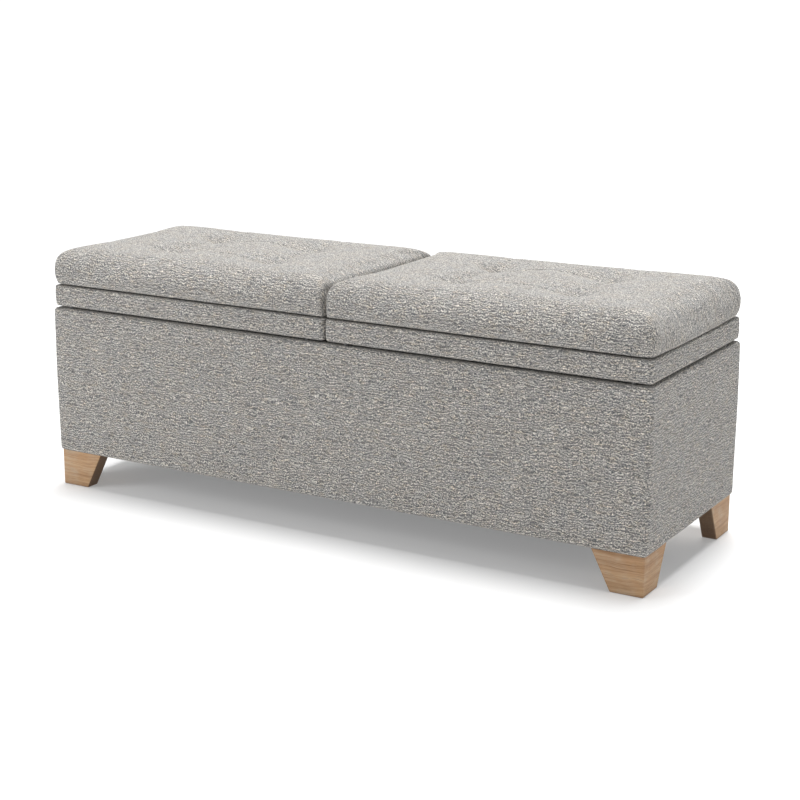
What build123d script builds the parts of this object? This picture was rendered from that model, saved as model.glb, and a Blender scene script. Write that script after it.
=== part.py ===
from build123d import *
import os

# Storage bench: an upholstered plywood box on four tapered oak bracket feet. A divider splits the
# box into two compartments, and each has its own lid, a tufted cushion over an upholstered frame,
# on two butt hinges and a soft-close stay. Millimetres, +X along the bench to the right, the front
# at -Y, +Z up, and the origin on the floor under the middle of the box.

# Driving dimensions of the bench
LENGTH = 1214.0  # box, over its upholstery
DEPTH = 400.0
FOOT_HEIGHT = 68.5  # floor to the underside of the box
BOX_TOP = 347.0
LID_BOTTOM = 351.0
BAND_TOP = 390.0  # top of the upholstered band, where the cushion begins
CUSHION_TOP = 457.0

# Upholstery
FABRIC = 1.5  # cover fabric with its backing
BOX_WADDING = 8.0
BAND_WADDING = 4.0
LINING = 1.0
BOX_EDGE = 8.0  # rounding of the box's padded edges
BAND_EDGE = 5.5
BAND_TOP_EDGE = 3.0
HEM = 20.0  # band fabric turned over the frame
BOX_HEM = 60.0  # box fabric turned under the box
BAND_INSET = 3.0  # band's face behind the box's face
CUSHION_BULGE = 3.5  # cushion's side beyond the box's face
CUSHION_UPRIGHT = 30.0
CUSHION_EDGE = 28.0
CUSHION_SEAM_EDGE = 5.0
LID_SPLIT = 3.0  # between the two bands
CUSHION_SPLIT = 4.0  # between the two cushions

# Woodwork
PANEL = 15.0
FLOOR_PANEL = 9.0
CLEAT = 20.0
CORNER_BLOCK = 80.0
LID_BOARD = 12.0
RAIL_WIDTH = 45.0
GLUE_LINE = 0.2
FOOT_INSET = 4.5  # foot's outer faces behind the box's faces
FOOT_SOLE = 59.0
FOOT_HEAD = 94.0
FOOT_BOARD = 28.0  # thickness
FOOT_BLOCK = 25.0  # glue block behind the boards
FOOT_BLOCK_BOTTOM = 36.0
FOOT_ROUNDING = 2.5
FOOT_CHAMFER = 1.0  # round the sole

# Tufts
TUFT_SPACING_X = 228.0
TUFT_SPACING_Y = 142.0
DIMPLE_DEPTH = 12.0
DIMPLE_MOUTH = 18.0  # radius
DIMPLE_FLOOR = 6.0  # radius
TWINE = 0.8  # radius
TIE_HOLE = 1.6  # radius, through the lid board
STITCH_LENGTH = 8.0
WASHER_RADIUS = 9.0
WASHER = 1.6

# Hinges
HINGE_Y = 200.5
HINGE_Z = 349.0
HINGE_LENGTH = 60.0
HINGE_SPACING = 380.0
LEAF = 1.5
LEAF_WIDTH = 25.0
KNUCKLES = 5
KNUCKLE_RADIUS = 3.0
KNUCKLE_GAP = 0.3
KNUCKLE_RELIEF = 3.3  # leaf plate's edge before the hinge axis
HINGE_PIN = 1.5  # radius
RUNNING_CLEARANCE = 0.05
HINGE_SCREW_SPACING = 22.0

# Soft-close stay. Its damper pivot, arm end and bracket pin form a parallelogram with the hinge axis.
DAMPER = (HINGE_Y - 55.0, HINGE_Z - 75.0)
STAY_REACH = (-110.0, -14.0)  # from the hinge axis to the bracket pin, and from the damper to the arm end
BRACKET_PIN = (HINGE_Y + STAY_REACH[0], HINGE_Z + STAY_REACH[1])
ARM_END = (DAMPER[0] + STAY_REACH[0], DAMPER[1] + STAY_REACH[1])
HOUSING_LAYER = (0.0, 12.5)  # depths from the lined end wall
HOUSING_PLATE = 3.0
ARM_LAYER = (13.0, 16.0)
LINK_LAYER = (16.5, 19.5)
HEAD_LAYER = (19.8, 21.3)
SPINDLE_HEAD = (16.3, 17.5)
DAMPER_RADIUS = 17.0
DAMPER_ROUNDING = 2.0
SPINDLE = 4.0
SPINDLE_HEAD_RADIUS = 6.5
STUD = 3.0
STUD_HEAD = 5.5
OPEN_PIVOT_CLEARANCE = 0.3
ARM_HUB = 10.0
ARM_EYE = 8.0
LINK_EYE = 7.0
BRACKET_PLATE = 1.5
HOUSING_SIZE = (52.0, 46.0)
HOUSING_SCREW_SPACING = (38.0, 32.0)

# Fasteners: (shank radius, head radius, head height, length)
HINGE_SCREW = (1.75, 3.2, 1.45, 20.0)
STAY_SCREW = (1.75, 3.2, 1.45, 15.5)
PANEL_SCREW = (2.0, 4.0, 2.5, 42.0)
SCREW_HOLE = 1.9
FOOT_BOLT = 4.0
BOLT_HOLE = 4.1
BOLT_BOTTOM = 41.0
TEE_NUT_RADIUS = 5.2
TEE_NUT_FLANGE = (10.0, 1.5)
TEE_NUT_LENGTH = 12.0
BUMPER_RADIUS = 4.0
BUMPER_CLEARANCE = 0.3
BUMPER_ROUNDING = 1.0

# Layers of the box's walls, from the outside in, as half-sizes along X and Y
HALF_X = LENGTH / 2
HALF_Y = DEPTH / 2
PANEL_X = HALF_X - FABRIC - BOX_WADDING
PANEL_Y = HALF_Y - FABRIC - BOX_WADDING
INNER_X = PANEL_X - PANEL
INNER_Y = PANEL_Y - PANEL
ROOM_X = INNER_X - LINING
ROOM_Y = INNER_Y - LINING

# Levels of the box
FRAME_BOTTOM = FOOT_HEIGHT + FABRIC
FRAME_TOP = BOX_TOP - FABRIC
FLOOR_BOTTOM = FRAME_BOTTOM + CLEAT
FLOOR_TOP = FLOOR_BOTTOM + FLOOR_PANEL
DIVIDER_TOP = FRAME_TOP - LINING

# Extents of the right lid and its layers; the left lid mirrors them
LID_X = (LID_SPLIT / 2, HALF_X - BAND_INSET)
LID_Y = HALF_Y - BAND_INSET
LID_FRAME_INSET = FABRIC + BAND_WADDING
LID_FRAME_X = (LID_X[0] + LID_FRAME_INSET, LID_X[1] - LID_FRAME_INSET)
LID_FRAME_Y = LID_Y - LID_FRAME_INSET
RAIL_BOTTOM = LID_BOTTOM + FABRIC
BOARD_TOP = BAND_TOP - FABRIC
BOARD_BOTTOM = BOARD_TOP - LID_BOARD
LID_LINING = 0.8
LID_LINING_LAP = 5.0  # over the turned hem
LID_LINING_REAR = 172.0
CUSHION_X = (CUSHION_SPLIT / 2, HALF_X + CUSHION_BULGE)
CUSHION_Y = HALF_Y + CUSHION_BULGE
LID_CENTRE = (LID_X[0] + LID_X[1]) / 2
TUFT_CENTRE = LENGTH / 4
DIMPLE_Z = CUSHION_TOP - DIMPLE_DEPTH

# Places of the fasteners
SCREW_Y = (INNER_Y + PANEL_Y) / 2
FOOT_X = HALF_X - FOOT_INSET
FOOT_Y = HALF_Y - FOOT_INSET
FOOT_BOLT_PLACE = (HALF_X - 45.0, HALF_Y - 45.0)
BUMPER_X = (40.0, 570.0)
BUMPER_Y = -(HALF_Y - 12.5)
PANEL_SCREW_HEIGHTS = (115.0, 210.0, 305.0)
DIVIDER_SCREW_HEIGHTS = (150.0, 290.0)
BRACKET_Z = LID_BOTTOM - LID_LINING  # the bracket is screwed up against the lid's lining
BRACKET_SCREWS_X = (ROOM_X - 7.0, ROOM_X - 21.0)
BRACKET_SCREWS_Y = (BRACKET_PIN[0] - 13.5, BRACKET_PIN[0] + 13.5)

ON_TOP = (Align.CENTER, Align.CENTER, Align.MIN)
BELOW = (Align.CENTER, Align.CENTER, Align.MAX)
SIDES = {"left": -1, "right": 1}


def save(part, name):
    """Label a finished piece and write it as a STEP file."""
    part.label = name
    export_step(part, f"parts/{name}.step")


def span(side, low, high):
    """Extents along X on one side of the bench: side is 1 on the right and -1 on the left."""
    return tuple(sorted((side * low, side * high)))


def shrink(extents, amount):
    """Extents drawn in by an amount at both ends."""
    return (extents[0] + amount, extents[1] - amount)


def block(x, y, z, mode=Mode.ADD):
    """Add a square-edged block to the part being built, from its extents along X, Y and Z."""
    with BuildSketch(Plane.XY.offset(z[0])) as outline:
        with Locations(((x[0] + x[1]) / 2, (y[0] + y[1]) / 2)):
            Rectangle(x[1] - x[0], y[1] - y[0])
    extrude(outline.sketch, amount=z[1] - z[0], mode=mode)


def drill(points, radius, z, mode=Mode.SUBTRACT):
    """Cut upright round holes through the part being built, or add rods with another mode."""
    with BuildSketch(Plane.XY.offset(z[0])) as holes:
        with Locations(*points):
            Circle(radius)
    extrude(holes.sketch, amount=z[1] - z[0], mode=mode)


def board(x, y, z):
    """A plain square-edged board."""
    with BuildPart() as piece:
        block(x, y, z)
    return piece.part


def rounded_block(x, y, z, upright, top, bottom):
    """A block whose upright, top and bottom edges are rounded to these radii."""
    with BuildPart() as body:
        block(x, y, z)
        fillet(body.edges().filter_by(Axis.Z), upright)
        fillet(body.faces().sort_by(Axis.Z)[-1].edges(), top)
        fillet(body.faces().sort_by(Axis.Z)[0].edges(), bottom)
    return body.part


def rounded_skin(x, y, z, upright, top, bottom):
    """The closed fabric skin of a rounded block."""
    core = rounded_block(
        shrink(x, FABRIC), shrink(y, FABRIC), shrink(z, FABRIC),
        upright - FABRIC, top - FABRIC, bottom - FABRIC,
    )
    with BuildPart() as skin:
        add(rounded_block(x, y, z, upright, top, bottom))
        add(core, mode=Mode.SUBTRACT)
    return skin.part


def screws(points, outward, shape):
    """Countersunk screws whose heads lie flush at the points and face outward."""
    shank_radius, head_radius, head_height, length = shape
    with BuildPart() as group:
        for point in points:
            with Locations(Plane(origin=point, z_dir=outward)):
                Cone(shank_radius, head_radius, head_height, align=BELOW)
                Cylinder(shank_radius, length, align=BELOW)
    return group.part


# Places that several pieces share


def hinge_centres(side):
    """The middles of one lid's two hinges along X."""
    return [side * (LID_CENTRE + offset) for offset in (-HINGE_SPACING / 2, HINGE_SPACING / 2)]


def hinge_screw_places(side):
    """Plan positions of the screws through one lid's two hinges."""
    offsets = (-HINGE_SCREW_SPACING, 0.0, HINGE_SCREW_SPACING)
    return [(centre + offset, SCREW_Y) for centre in hinge_centres(side) for offset in offsets]


def bracket_screw_places(side):
    """Plan positions of the screws through one stay's bracket."""
    return [(side * x, y) for x in BRACKET_SCREWS_X for y in BRACKET_SCREWS_Y]


def housing_screw_places():
    """(Y, Z) positions of the screws through a stay's housing."""
    half_y = HOUSING_SCREW_SPACING[0] / 2
    half_z = HOUSING_SCREW_SPACING[1] / 2
    return [(DAMPER[0] + y, DAMPER[1] + z) for y in (-half_y, half_y) for z in (-half_z, half_z)]


def tuft_places(side):
    """Plan positions of one cushion's tufts."""
    half_x = TUFT_SPACING_X / 2
    half_y = TUFT_SPACING_Y / 2
    return [(side * TUFT_CENTRE + x, y) for x in (-half_x, half_x) for y in (-half_y, half_y)]


def foot_bolt_places():
    """Plan positions of the four foot bolts."""
    x, y = FOOT_BOLT_PLACE
    return [(-x, -y), (x, -y), (-x, y), (x, y)]


# Box


def box_panels():
    """Plywood walls, floor and divider."""
    height = (FRAME_BOTTOM, FRAME_TOP)
    long_wall = (-PANEL_X, PANEL_X)
    short_wall = (-INNER_Y, INNER_Y)
    save(board(long_wall, (-PANEL_Y, -INNER_Y), height), "box_front_panel")
    save(board(long_wall, (INNER_Y, PANEL_Y), height), "box_back_panel")
    for name, side in SIDES.items():
        save(board(span(side, INNER_X, PANEL_X), short_wall, height), f"box_{name}_end_panel")
    save(board((-INNER_X, INNER_X), short_wall, (FLOOR_BOTTOM, FLOOR_TOP)), "box_bottom_panel")
    save(board((-PANEL / 2, PANEL / 2), short_wall, (FLOOR_TOP, DIVIDER_TOP)), "box_divider")


def bottom_cleats():
    """Battens under the bottom panel, between the corner blocks."""
    height = (FRAME_BOTTOM, FLOOR_BOTTOM)
    reach_x = INNER_X - CORNER_BLOCK - GLUE_LINE
    reach_y = INNER_Y - CORNER_BLOCK - GLUE_LINE
    with BuildPart() as cleats:
        for side in (-1, 1):
            block((-reach_x, reach_x), span(side, INNER_Y - CLEAT, INNER_Y), height)
            block(span(side, INNER_X - CLEAT, INNER_X), (-reach_y, reach_y), height)
    save(cleats.part, "bottom_cleats")


def corner_blocks():
    """Blocks that take the tee nuts of the feet."""
    height = (FRAME_BOTTOM, FLOOR_BOTTOM)
    flange_radius, flange = TEE_NUT_FLANGE
    with BuildPart() as blocks:
        for side_x in (-1, 1):
            for side_y in (-1, 1):
                block(
                    span(side_x, INNER_X - CORNER_BLOCK, INNER_X),
                    span(side_y, INNER_Y - CORNER_BLOCK, INNER_Y),
                    height,
                )
        drill(foot_bolt_places(), TEE_NUT_RADIUS, height)
        drill(foot_bolt_places(), flange_radius, (FLOOR_BOTTOM - flange, FLOOR_BOTTOM))
    save(blocks.part, "corner_blocks")


def box_padding():
    """Wadding on the box's four outer faces, one slab on each."""
    height = (FRAME_BOTTOM, FRAME_TOP)
    outer_x = (-PANEL_X - BOX_WADDING, PANEL_X + BOX_WADDING)
    outer_y = (-PANEL_Y - BOX_WADDING, PANEL_Y + BOX_WADDING)
    edge = BOX_EDGE - FABRIC
    with BuildPart() as padding:
        add(rounded_block(outer_x, outer_y, height, edge, edge, edge))
        block((-PANEL_X, PANEL_X), (-PANEL_Y, PANEL_Y), height, mode=Mode.SUBTRACT)
        for side in (-1, 1):
            joint = span(side, PANEL_Y - GLUE_LINE, PANEL_Y)
            block(outer_x, joint, height, mode=Mode.SUBTRACT)
    save(padding.part, "box_padding")


def box_cover():
    """Upholstery round the box, turned over the rim and under the bottom."""
    with BuildPart() as cover:
        add(rounded_skin(
            (-HALF_X, HALF_X), (-HALF_Y, HALF_Y), (FOOT_HEIGHT, BOX_TOP), BOX_EDGE, BOX_EDGE, BOX_EDGE
        ))
        block((-ROOM_X, ROOM_X), (-ROOM_Y, ROOM_Y), (FRAME_TOP, BOX_TOP), mode=Mode.SUBTRACT)
        block(
            shrink((-HALF_X, HALF_X), BOX_HEM), shrink((-HALF_Y, HALF_Y), BOX_HEM),
            (FOOT_HEIGHT, FRAME_BOTTOM), mode=Mode.SUBTRACT,
        )
        drill(foot_bolt_places(), BOLT_HOLE, (FOOT_HEIGHT, FRAME_BOTTOM))
        for side in (-1, 1):
            drill(hinge_screw_places(side), SCREW_HOLE, (FRAME_TOP, BOX_TOP))
    save(cover.part, "box_cover")


def compartment_lining(side, name):
    """Fabric lining of one compartment's floor and walls."""
    height = (FLOOR_TOP, FRAME_TOP)
    with BuildPart() as lining:
        block(span(side, PANEL / 2, INNER_X), (-INNER_Y, INNER_Y), height)
        block(
            span(side, PANEL / 2 + LINING, ROOM_X), (-ROOM_Y, ROOM_Y),
            (FLOOR_TOP + LINING, FRAME_TOP), mode=Mode.SUBTRACT,
        )
        block(
            span(side, PANEL / 2, PANEL / 2 + LINING), (-ROOM_Y, ROOM_Y),
            (DIVIDER_TOP, FRAME_TOP), mode=Mode.SUBTRACT,
        )
        with BuildSketch(Plane.YZ.offset(side * ROOM_X)):
            with Locations(*housing_screw_places()):
                Circle(SCREW_HOLE)
        extrude(amount=side * LINING, mode=Mode.SUBTRACT)
    save(lining.part, f"{name}_compartment_lining")


def divider_cap():
    """Fabric strip over the divider's top edge."""
    reach = PANEL / 2 + LINING
    save(board((-reach, reach), (-ROOM_Y, ROOM_Y), (DIVIDER_TOP, FRAME_TOP)), "divider_cap")


def dust_cover():
    """Thin cloth that closes the underside, cut away round the feet."""
    thickness = 0.6
    lap = 25.0  # from the box's faces to the cloth's edges
    foot_clearance = 3.0
    height = (FOOT_HEIGHT - thickness, FOOT_HEIGHT)
    corner = FOOT_INSET + FOOT_HEAD + foot_clearance
    with BuildPart() as cloth:
        block(shrink((-HALF_X, HALF_X), lap), shrink((-HALF_Y, HALF_Y), lap), height)
        for side_x in (-1, 1):
            for side_y in (-1, 1):
                block(
                    span(side_x, HALF_X - corner, HALF_X), span(side_y, HALF_Y - corner, HALF_Y),
                    height, mode=Mode.SUBTRACT,
                )
    save(cloth.part, "dust_cover")


def foot_board(side_x, side_y, along_x):
    """One board of a foot: upright under the box's corner, and tapered at its inner end to the sole."""
    sections = []
    for z, reach in ((0.0, FOOT_SOLE), (FOOT_HEIGHT, FOOT_HEAD)):
        size = (reach, FOOT_BOARD) if along_x else (FOOT_BOARD, reach)
        with BuildSketch(Plane.XY.offset(z)) as section:
            with Locations((side_x * (FOOT_X - size[0] / 2), side_y * (FOOT_Y - size[1] / 2))):
                Rectangle(*size)
        sections.append(section.sketch)
    loft(sections)


def foot(side_x, side_y, name):
    """Oak bracket foot: a side board, on the front feet also a front board, and a glue block for the bolt."""
    glue_block = (FOOT_BOARD, FOOT_BOARD + FOOT_BLOCK)
    with BuildPart() as leg:
        foot_board(side_x, side_y, False)
        if side_y < 0:
            foot_board(side_x, side_y, True)
        fillet(leg.edges().filter_by(Plane.XY, reverse=True), FOOT_ROUNDING)
        chamfer(leg.faces().sort_by(Axis.Z)[0].edges(), FOOT_CHAMFER)
        block(
            span(side_x, FOOT_X - glue_block[1], FOOT_X - glue_block[0]),
            span(side_y, FOOT_Y - glue_block[1], FOOT_Y - glue_block[0]),
            (FOOT_BLOCK_BOTTOM, FOOT_HEIGHT),
        )
        bolt_place = (side_x * FOOT_BOLT_PLACE[0], side_y * FOOT_BOLT_PLACE[1])
        drill([bolt_place], BOLT_HOLE, (BOLT_BOTTOM, FOOT_HEIGHT))
    save(leg.part, name)


def foot_fixings():
    """Bolts that stand in the feet, and the tee nuts in the corner blocks that they turn into."""
    flange_radius, flange = TEE_NUT_FLANGE
    with BuildPart() as bolts:
        drill(foot_bolt_places(), FOOT_BOLT, (BOLT_BOTTOM, FLOOR_BOTTOM), mode=Mode.ADD)
    save(bolts.part, "foot_bolts")
    barrel = (FLOOR_BOTTOM - TEE_NUT_LENGTH, FLOOR_BOTTOM)
    with BuildPart() as nuts:
        drill(foot_bolt_places(), TEE_NUT_RADIUS - RUNNING_CLEARANCE, barrel, mode=Mode.ADD)
        drill(foot_bolt_places(), flange_radius, (FLOOR_BOTTOM - flange, FLOOR_BOTTOM), mode=Mode.ADD)
        drill(foot_bolt_places(), BOLT_HOLE, barrel)
    save(nuts.part, "foot_tee_nuts")


def panel_screws():
    """Screws through the long walls into the end walls and the divider."""
    end_x = (INNER_X + PANEL_X) / 2
    places = [(side * end_x, z) for side in (-1, 1) for z in PANEL_SCREW_HEIGHTS]
    places += [(0.0, z) for z in DIVIDER_SCREW_HEIGHTS]
    with BuildPart() as group:
        for face in (-1, 1):
            heads = [(x, face * PANEL_Y, z) for x, z in places]
            add(screws(heads, (0, face, 0), PANEL_SCREW))
    save(group.part, "panel_screws")


def rim_bumpers():
    """Rubber buttons on the front rim that the lids close on."""
    height = (BOX_TOP, LID_BOTTOM - BUMPER_CLEARANCE)
    places = [(side * x, BUMPER_Y) for side in (-1, 1) for x in BUMPER_X]
    with BuildPart() as bumpers:
        drill(places, BUMPER_RADIUS, height, mode=Mode.ADD)
        fillet(bumpers.faces().filter_by(Axis.Z).group_by(Axis.Z)[-1].edges(), BUMPER_ROUNDING)
    save(bumpers.part, "rim_bumpers")


# Hinges


def hinge_leaf(centre, plate, own_knuckles, head_z, outward, name):
    """One leaf of a butt hinge: a plate, its screw holes and its share of the knuckles."""
    start = centre - HINGE_LENGTH / 2
    pitch = HINGE_LENGTH / KNUCKLES
    with BuildPart() as leaf:
        block(
            (start, start + HINGE_LENGTH), (HINGE_Y - LEAF_WIDTH, HINGE_Y - KNUCKLE_RELIEF), plate
        )
        for knuckle in own_knuckles:
            with BuildSketch(Plane.YZ.offset(start + knuckle * pitch + KNUCKLE_GAP / 2)):
                with Locations((HINGE_Y - KNUCKLE_RELIEF / 2, (plate[0] + plate[1]) / 2)):
                    Rectangle(KNUCKLE_RELIEF, LEAF)
                with Locations((HINGE_Y, HINGE_Z)):
                    Circle(KNUCKLE_RADIUS)
                    Circle(HINGE_PIN + RUNNING_CLEARANCE, mode=Mode.SUBTRACT)
            extrude(amount=pitch - KNUCKLE_GAP)
        for offset in (-HINGE_SCREW_SPACING, 0.0, HINGE_SCREW_SPACING):
            with Locations(Plane(origin=(centre + offset, SCREW_Y, head_z), z_dir=outward)):
                CounterSinkHole(SCREW_HOLE, HINGE_SCREW[1] + SCREW_HOLE - HINGE_SCREW[0], LEAF)
    save(leaf.part, name)


def hinges():
    """Two butt hinges for each lid, with the pins and screws that stay on the box."""
    box_plate = (BOX_TOP, BOX_TOP + LEAF)
    lid_plate = (LID_BOTTOM - LEAF, LID_BOTTOM)
    centres = []
    for name, side in SIDES.items():
        for place, centre in zip(("inner", "outer"), hinge_centres(side)):
            prefix = f"{name}_{place}_hinge"
            hinge_leaf(centre, box_plate, (0, 2, 4), box_plate[1], (0, 0, 1), f"{prefix}_box_leaf")
            hinge_leaf(centre, lid_plate, (1, 3), lid_plate[0], (0, 0, -1), f"{prefix}_lid_leaf")
            centres.append(centre)
    with BuildPart() as pins:
        for centre in centres:
            with BuildSketch(Plane.YZ.offset(centre - HINGE_LENGTH / 2)):
                with Locations((HINGE_Y, HINGE_Z)):
                    Circle(HINGE_PIN)
            extrude(amount=HINGE_LENGTH)
    save(pins.part, "hinge_pins")


def box_hardware_screws():
    """Screws of the hinges' box leaves and of the stays' housings."""
    with BuildPart() as group:
        for side in (-1, 1):
            heads = [(x, y, BOX_TOP + LEAF) for x, y in hinge_screw_places(side)]
            add(screws(heads, (0, 0, 1), HINGE_SCREW))
            face = side * (ROOM_X - HOUSING_PLATE)
            heads = [(face, y, z) for y, z in housing_screw_places()]
            add(screws(heads, (-side, 0, 0), STAY_SCREW))
    save(group.part, "box_hardware_screws")


# Stays


def layer_plane(side, layer):
    """The plane at a layer's inner face, for a layer given as depths from the lined end wall."""
    return Plane.YZ.offset(side * (ROOM_X - layer[1]))


def stay_housing(side, name):
    """Damper can on a screwed plate, with the headed spindle that the arm turns on."""
    plate_layer = (0.0, HOUSING_PLATE)
    can_layer = (0.0, HOUSING_LAYER[1])
    spindle_layer = (0.0, SPINDLE_HEAD[1])
    corner = 8.0
    with BuildPart() as housing:
        with BuildSketch(layer_plane(side, plate_layer)):
            with Locations(DAMPER):
                RectangleRounded(HOUSING_SIZE[0], HOUSING_SIZE[1], corner)
        extrude(amount=side * HOUSING_PLATE)
        with BuildSketch(layer_plane(side, can_layer)):
            with Locations(DAMPER):
                Circle(DAMPER_RADIUS)
        extrude(amount=side * can_layer[1])
        rim = housing.faces().filter_by(Axis.X).sort_by(Axis.X)[-1 if side < 0 else 0]
        fillet(rim.edges(), DAMPER_ROUNDING)
        with BuildSketch(layer_plane(side, spindle_layer)):
            with Locations(DAMPER):
                Circle(SPINDLE)
        extrude(amount=side * spindle_layer[1])
        with BuildSketch(layer_plane(side, SPINDLE_HEAD)):
            with Locations(DAMPER):
                Circle(SPINDLE_HEAD_RADIUS)
        extrude(amount=side * (SPINDLE_HEAD[1] - SPINDLE_HEAD[0]))
        face = side * (ROOM_X - HOUSING_PLATE)
        for y, z in housing_screw_places():
            with Locations(Plane(origin=(face, y, z), z_dir=(-side, 0, 0))):
                CounterSinkHole(SCREW_HOLE, STAY_SCREW[1] + SCREW_HOLE - STAY_SCREW[0], HOUSING_PLATE)
    save(housing.part, f"{name}_stay_housing")


def headed_stud(side, place, start):
    """Add a stud to the part being built, from a depth through the link to a head beyond it."""
    for radius, layer in ((STUD, (start, HEAD_LAYER[1])), (STUD_HEAD, HEAD_LAYER)):
        with BuildSketch(layer_plane(side, layer)) as disc:
            with Locations(place):
                Circle(radius)
        extrude(disc.sketch, amount=side * (layer[1] - layer[0]))


def stay_arm(side, name):
    """Arm from the damper's spindle to the link, with the stud that the link turns on."""
    with BuildPart() as arm:
        with BuildSketch(layer_plane(side, ARM_LAYER)):
            with Locations(DAMPER):
                Circle(ARM_HUB)
            with Locations(ARM_END):
                Circle(ARM_EYE)
            make_hull()
            with Locations(DAMPER):
                Circle(SPINDLE + RUNNING_CLEARANCE, mode=Mode.SUBTRACT)
        extrude(amount=side * (ARM_LAYER[1] - ARM_LAYER[0]))
        headed_stud(side, ARM_END, ARM_LAYER[0])
    save(arm.part, f"{name}_stay_arm")


def stay_link(side, name):
    """Link between the arm's stud and the bracket's stud."""
    with BuildPart() as link:
        with BuildSketch(layer_plane(side, LINK_LAYER)):
            with Locations(ARM_END, BRACKET_PIN):
                Circle(LINK_EYE)
            make_hull()
            with Locations(ARM_END):
                Circle(STUD + RUNNING_CLEARANCE, mode=Mode.SUBTRACT)
            with Locations(BRACKET_PIN):
                Circle(STUD + OPEN_PIVOT_CLEARANCE, mode=Mode.SUBTRACT)
        extrude(amount=side * (LINK_LAYER[1] - LINK_LAYER[0]))
    save(link.part, f"{name}_stay_link")


def stay_bracket(side, name):
    """Bracket under the lid: a screwed plate, and a tab down to the link's upper pivot."""
    half_width = 20.0
    tab_top_width = 24.0
    plate_layer = (2.0, 26.0)
    plate_z = (BRACKET_Z - BRACKET_PLATE, BRACKET_Z)
    with BuildPart() as bracket:
        block(
            span(side, ROOM_X - plate_layer[1], ROOM_X - plate_layer[0]),
            (BRACKET_PIN[0] - half_width, BRACKET_PIN[0] + half_width),
            plate_z,
        )
        with BuildSketch(layer_plane(side, ARM_LAYER)):
            with Locations(BRACKET_PIN):
                Circle(ARM_EYE)
            with Locations((BRACKET_PIN[0], BRACKET_Z - BRACKET_PLATE / 2)):
                Rectangle(tab_top_width, BRACKET_PLATE)
            make_hull()
        extrude(amount=side * (ARM_LAYER[1] - ARM_LAYER[0]))
        headed_stud(side, BRACKET_PIN, ARM_LAYER[0])
        for x, y in bracket_screw_places(side):
            with Locations(Plane(origin=(x, y, plate_z[0]), z_dir=(0, 0, -1))):
                CounterSinkHole(SCREW_HOLE, STAY_SCREW[1] + SCREW_HOLE - STAY_SCREW[0], BRACKET_PLATE)
    save(bracket.part, f"{name}_stay_bracket")


# Lids


def lid_frame(side, name):
    """Plywood board on four softwood rails."""
    rails_z = (RAIL_BOTTOM, BOARD_BOTTOM)
    x = span(side, *LID_FRAME_X)
    inner_y = LID_FRAME_Y - RAIL_WIDTH
    with BuildPart() as top:
        block(x, (-LID_FRAME_Y, LID_FRAME_Y), (BOARD_BOTTOM, BOARD_TOP))
        drill(tuft_places(side), TIE_HOLE, (BOARD_BOTTOM, BOARD_TOP))
    save(top.part, f"{name}_lid_board")
    with BuildPart() as rails:
        for face in (-1, 1):
            block(x, span(face, inner_y, LID_FRAME_Y), rails_z)
        cross = (-inner_y + GLUE_LINE, inner_y - GLUE_LINE)
        block((x[0], x[0] + RAIL_WIDTH), cross, rails_z)
        block((x[1] - RAIL_WIDTH, x[1]), cross, rails_z)
    save(rails.part, f"{name}_lid_rails")


def lid_band(side, name):
    """Wadding and fabric round the lid's frame."""
    x = span(side, *LID_X)
    y = (-LID_Y, LID_Y)
    z = (LID_BOTTOM, BAND_TOP)
    with BuildPart() as wadding:
        add(rounded_block(
            shrink(x, FABRIC), shrink(y, FABRIC), shrink(z, FABRIC),
            BAND_EDGE - FABRIC, BAND_TOP_EDGE - FABRIC, BAND_EDGE - FABRIC,
        ))
        block(
            span(side, *LID_FRAME_X), (-LID_FRAME_Y, LID_FRAME_Y), (RAIL_BOTTOM, BOARD_TOP),
            mode=Mode.SUBTRACT,
        )
    save(wadding.part, f"{name}_band_padding")
    with BuildPart() as cover:
        add(rounded_skin(x, y, z, BAND_EDGE, BAND_TOP_EDGE, BAND_EDGE))
        block(shrink(x, HEM), shrink(y, HEM), z, mode=Mode.SUBTRACT)
        drill(hinge_screw_places(side), SCREW_HOLE, (LID_BOTTOM, RAIL_BOTTOM))
    save(cover.part, f"{name}_band_cover")


def lid_lining(side, name):
    """Lining under the lid, filling the frame between the turned hems and lapping over them."""
    x = shrink(span(side, *LID_X), HEM)
    y = shrink((-LID_Y, LID_Y), HEM)
    with BuildPart() as lining:
        block(x, y, (LID_BOTTOM, RAIL_BOTTOM))
        block(
            shrink(x, -LID_LINING_LAP), (y[0] - LID_LINING_LAP, LID_LINING_REAR),
            (BRACKET_Z, LID_BOTTOM),
        )
        drill(bracket_screw_places(side), SCREW_HOLE, (BRACKET_Z, RAIL_BOTTOM))
    save(lining.part, f"{name}_lid_lining")


def cushion_body(side, inset):
    """The cushion's outer form with its tuft dimples, drawn in by an inset."""
    top = CUSHION_TOP - inset
    with BuildPart() as body:
        add(rounded_block(
            shrink(span(side, *CUSHION_X), inset), shrink((-CUSHION_Y, CUSHION_Y), inset),
            (BAND_TOP + inset, top),
            CUSHION_UPRIGHT - inset, CUSHION_EDGE - inset, CUSHION_SEAM_EDGE - inset,
        ))
        with Locations(*[(x, y, top - DIMPLE_DEPTH) for x, y in tuft_places(side)]):
            Cone(
                DIMPLE_FLOOR + inset, DIMPLE_MOUTH + inset, DIMPLE_DEPTH,
                align=ON_TOP, mode=Mode.SUBTRACT,
            )
    return body.part


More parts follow.
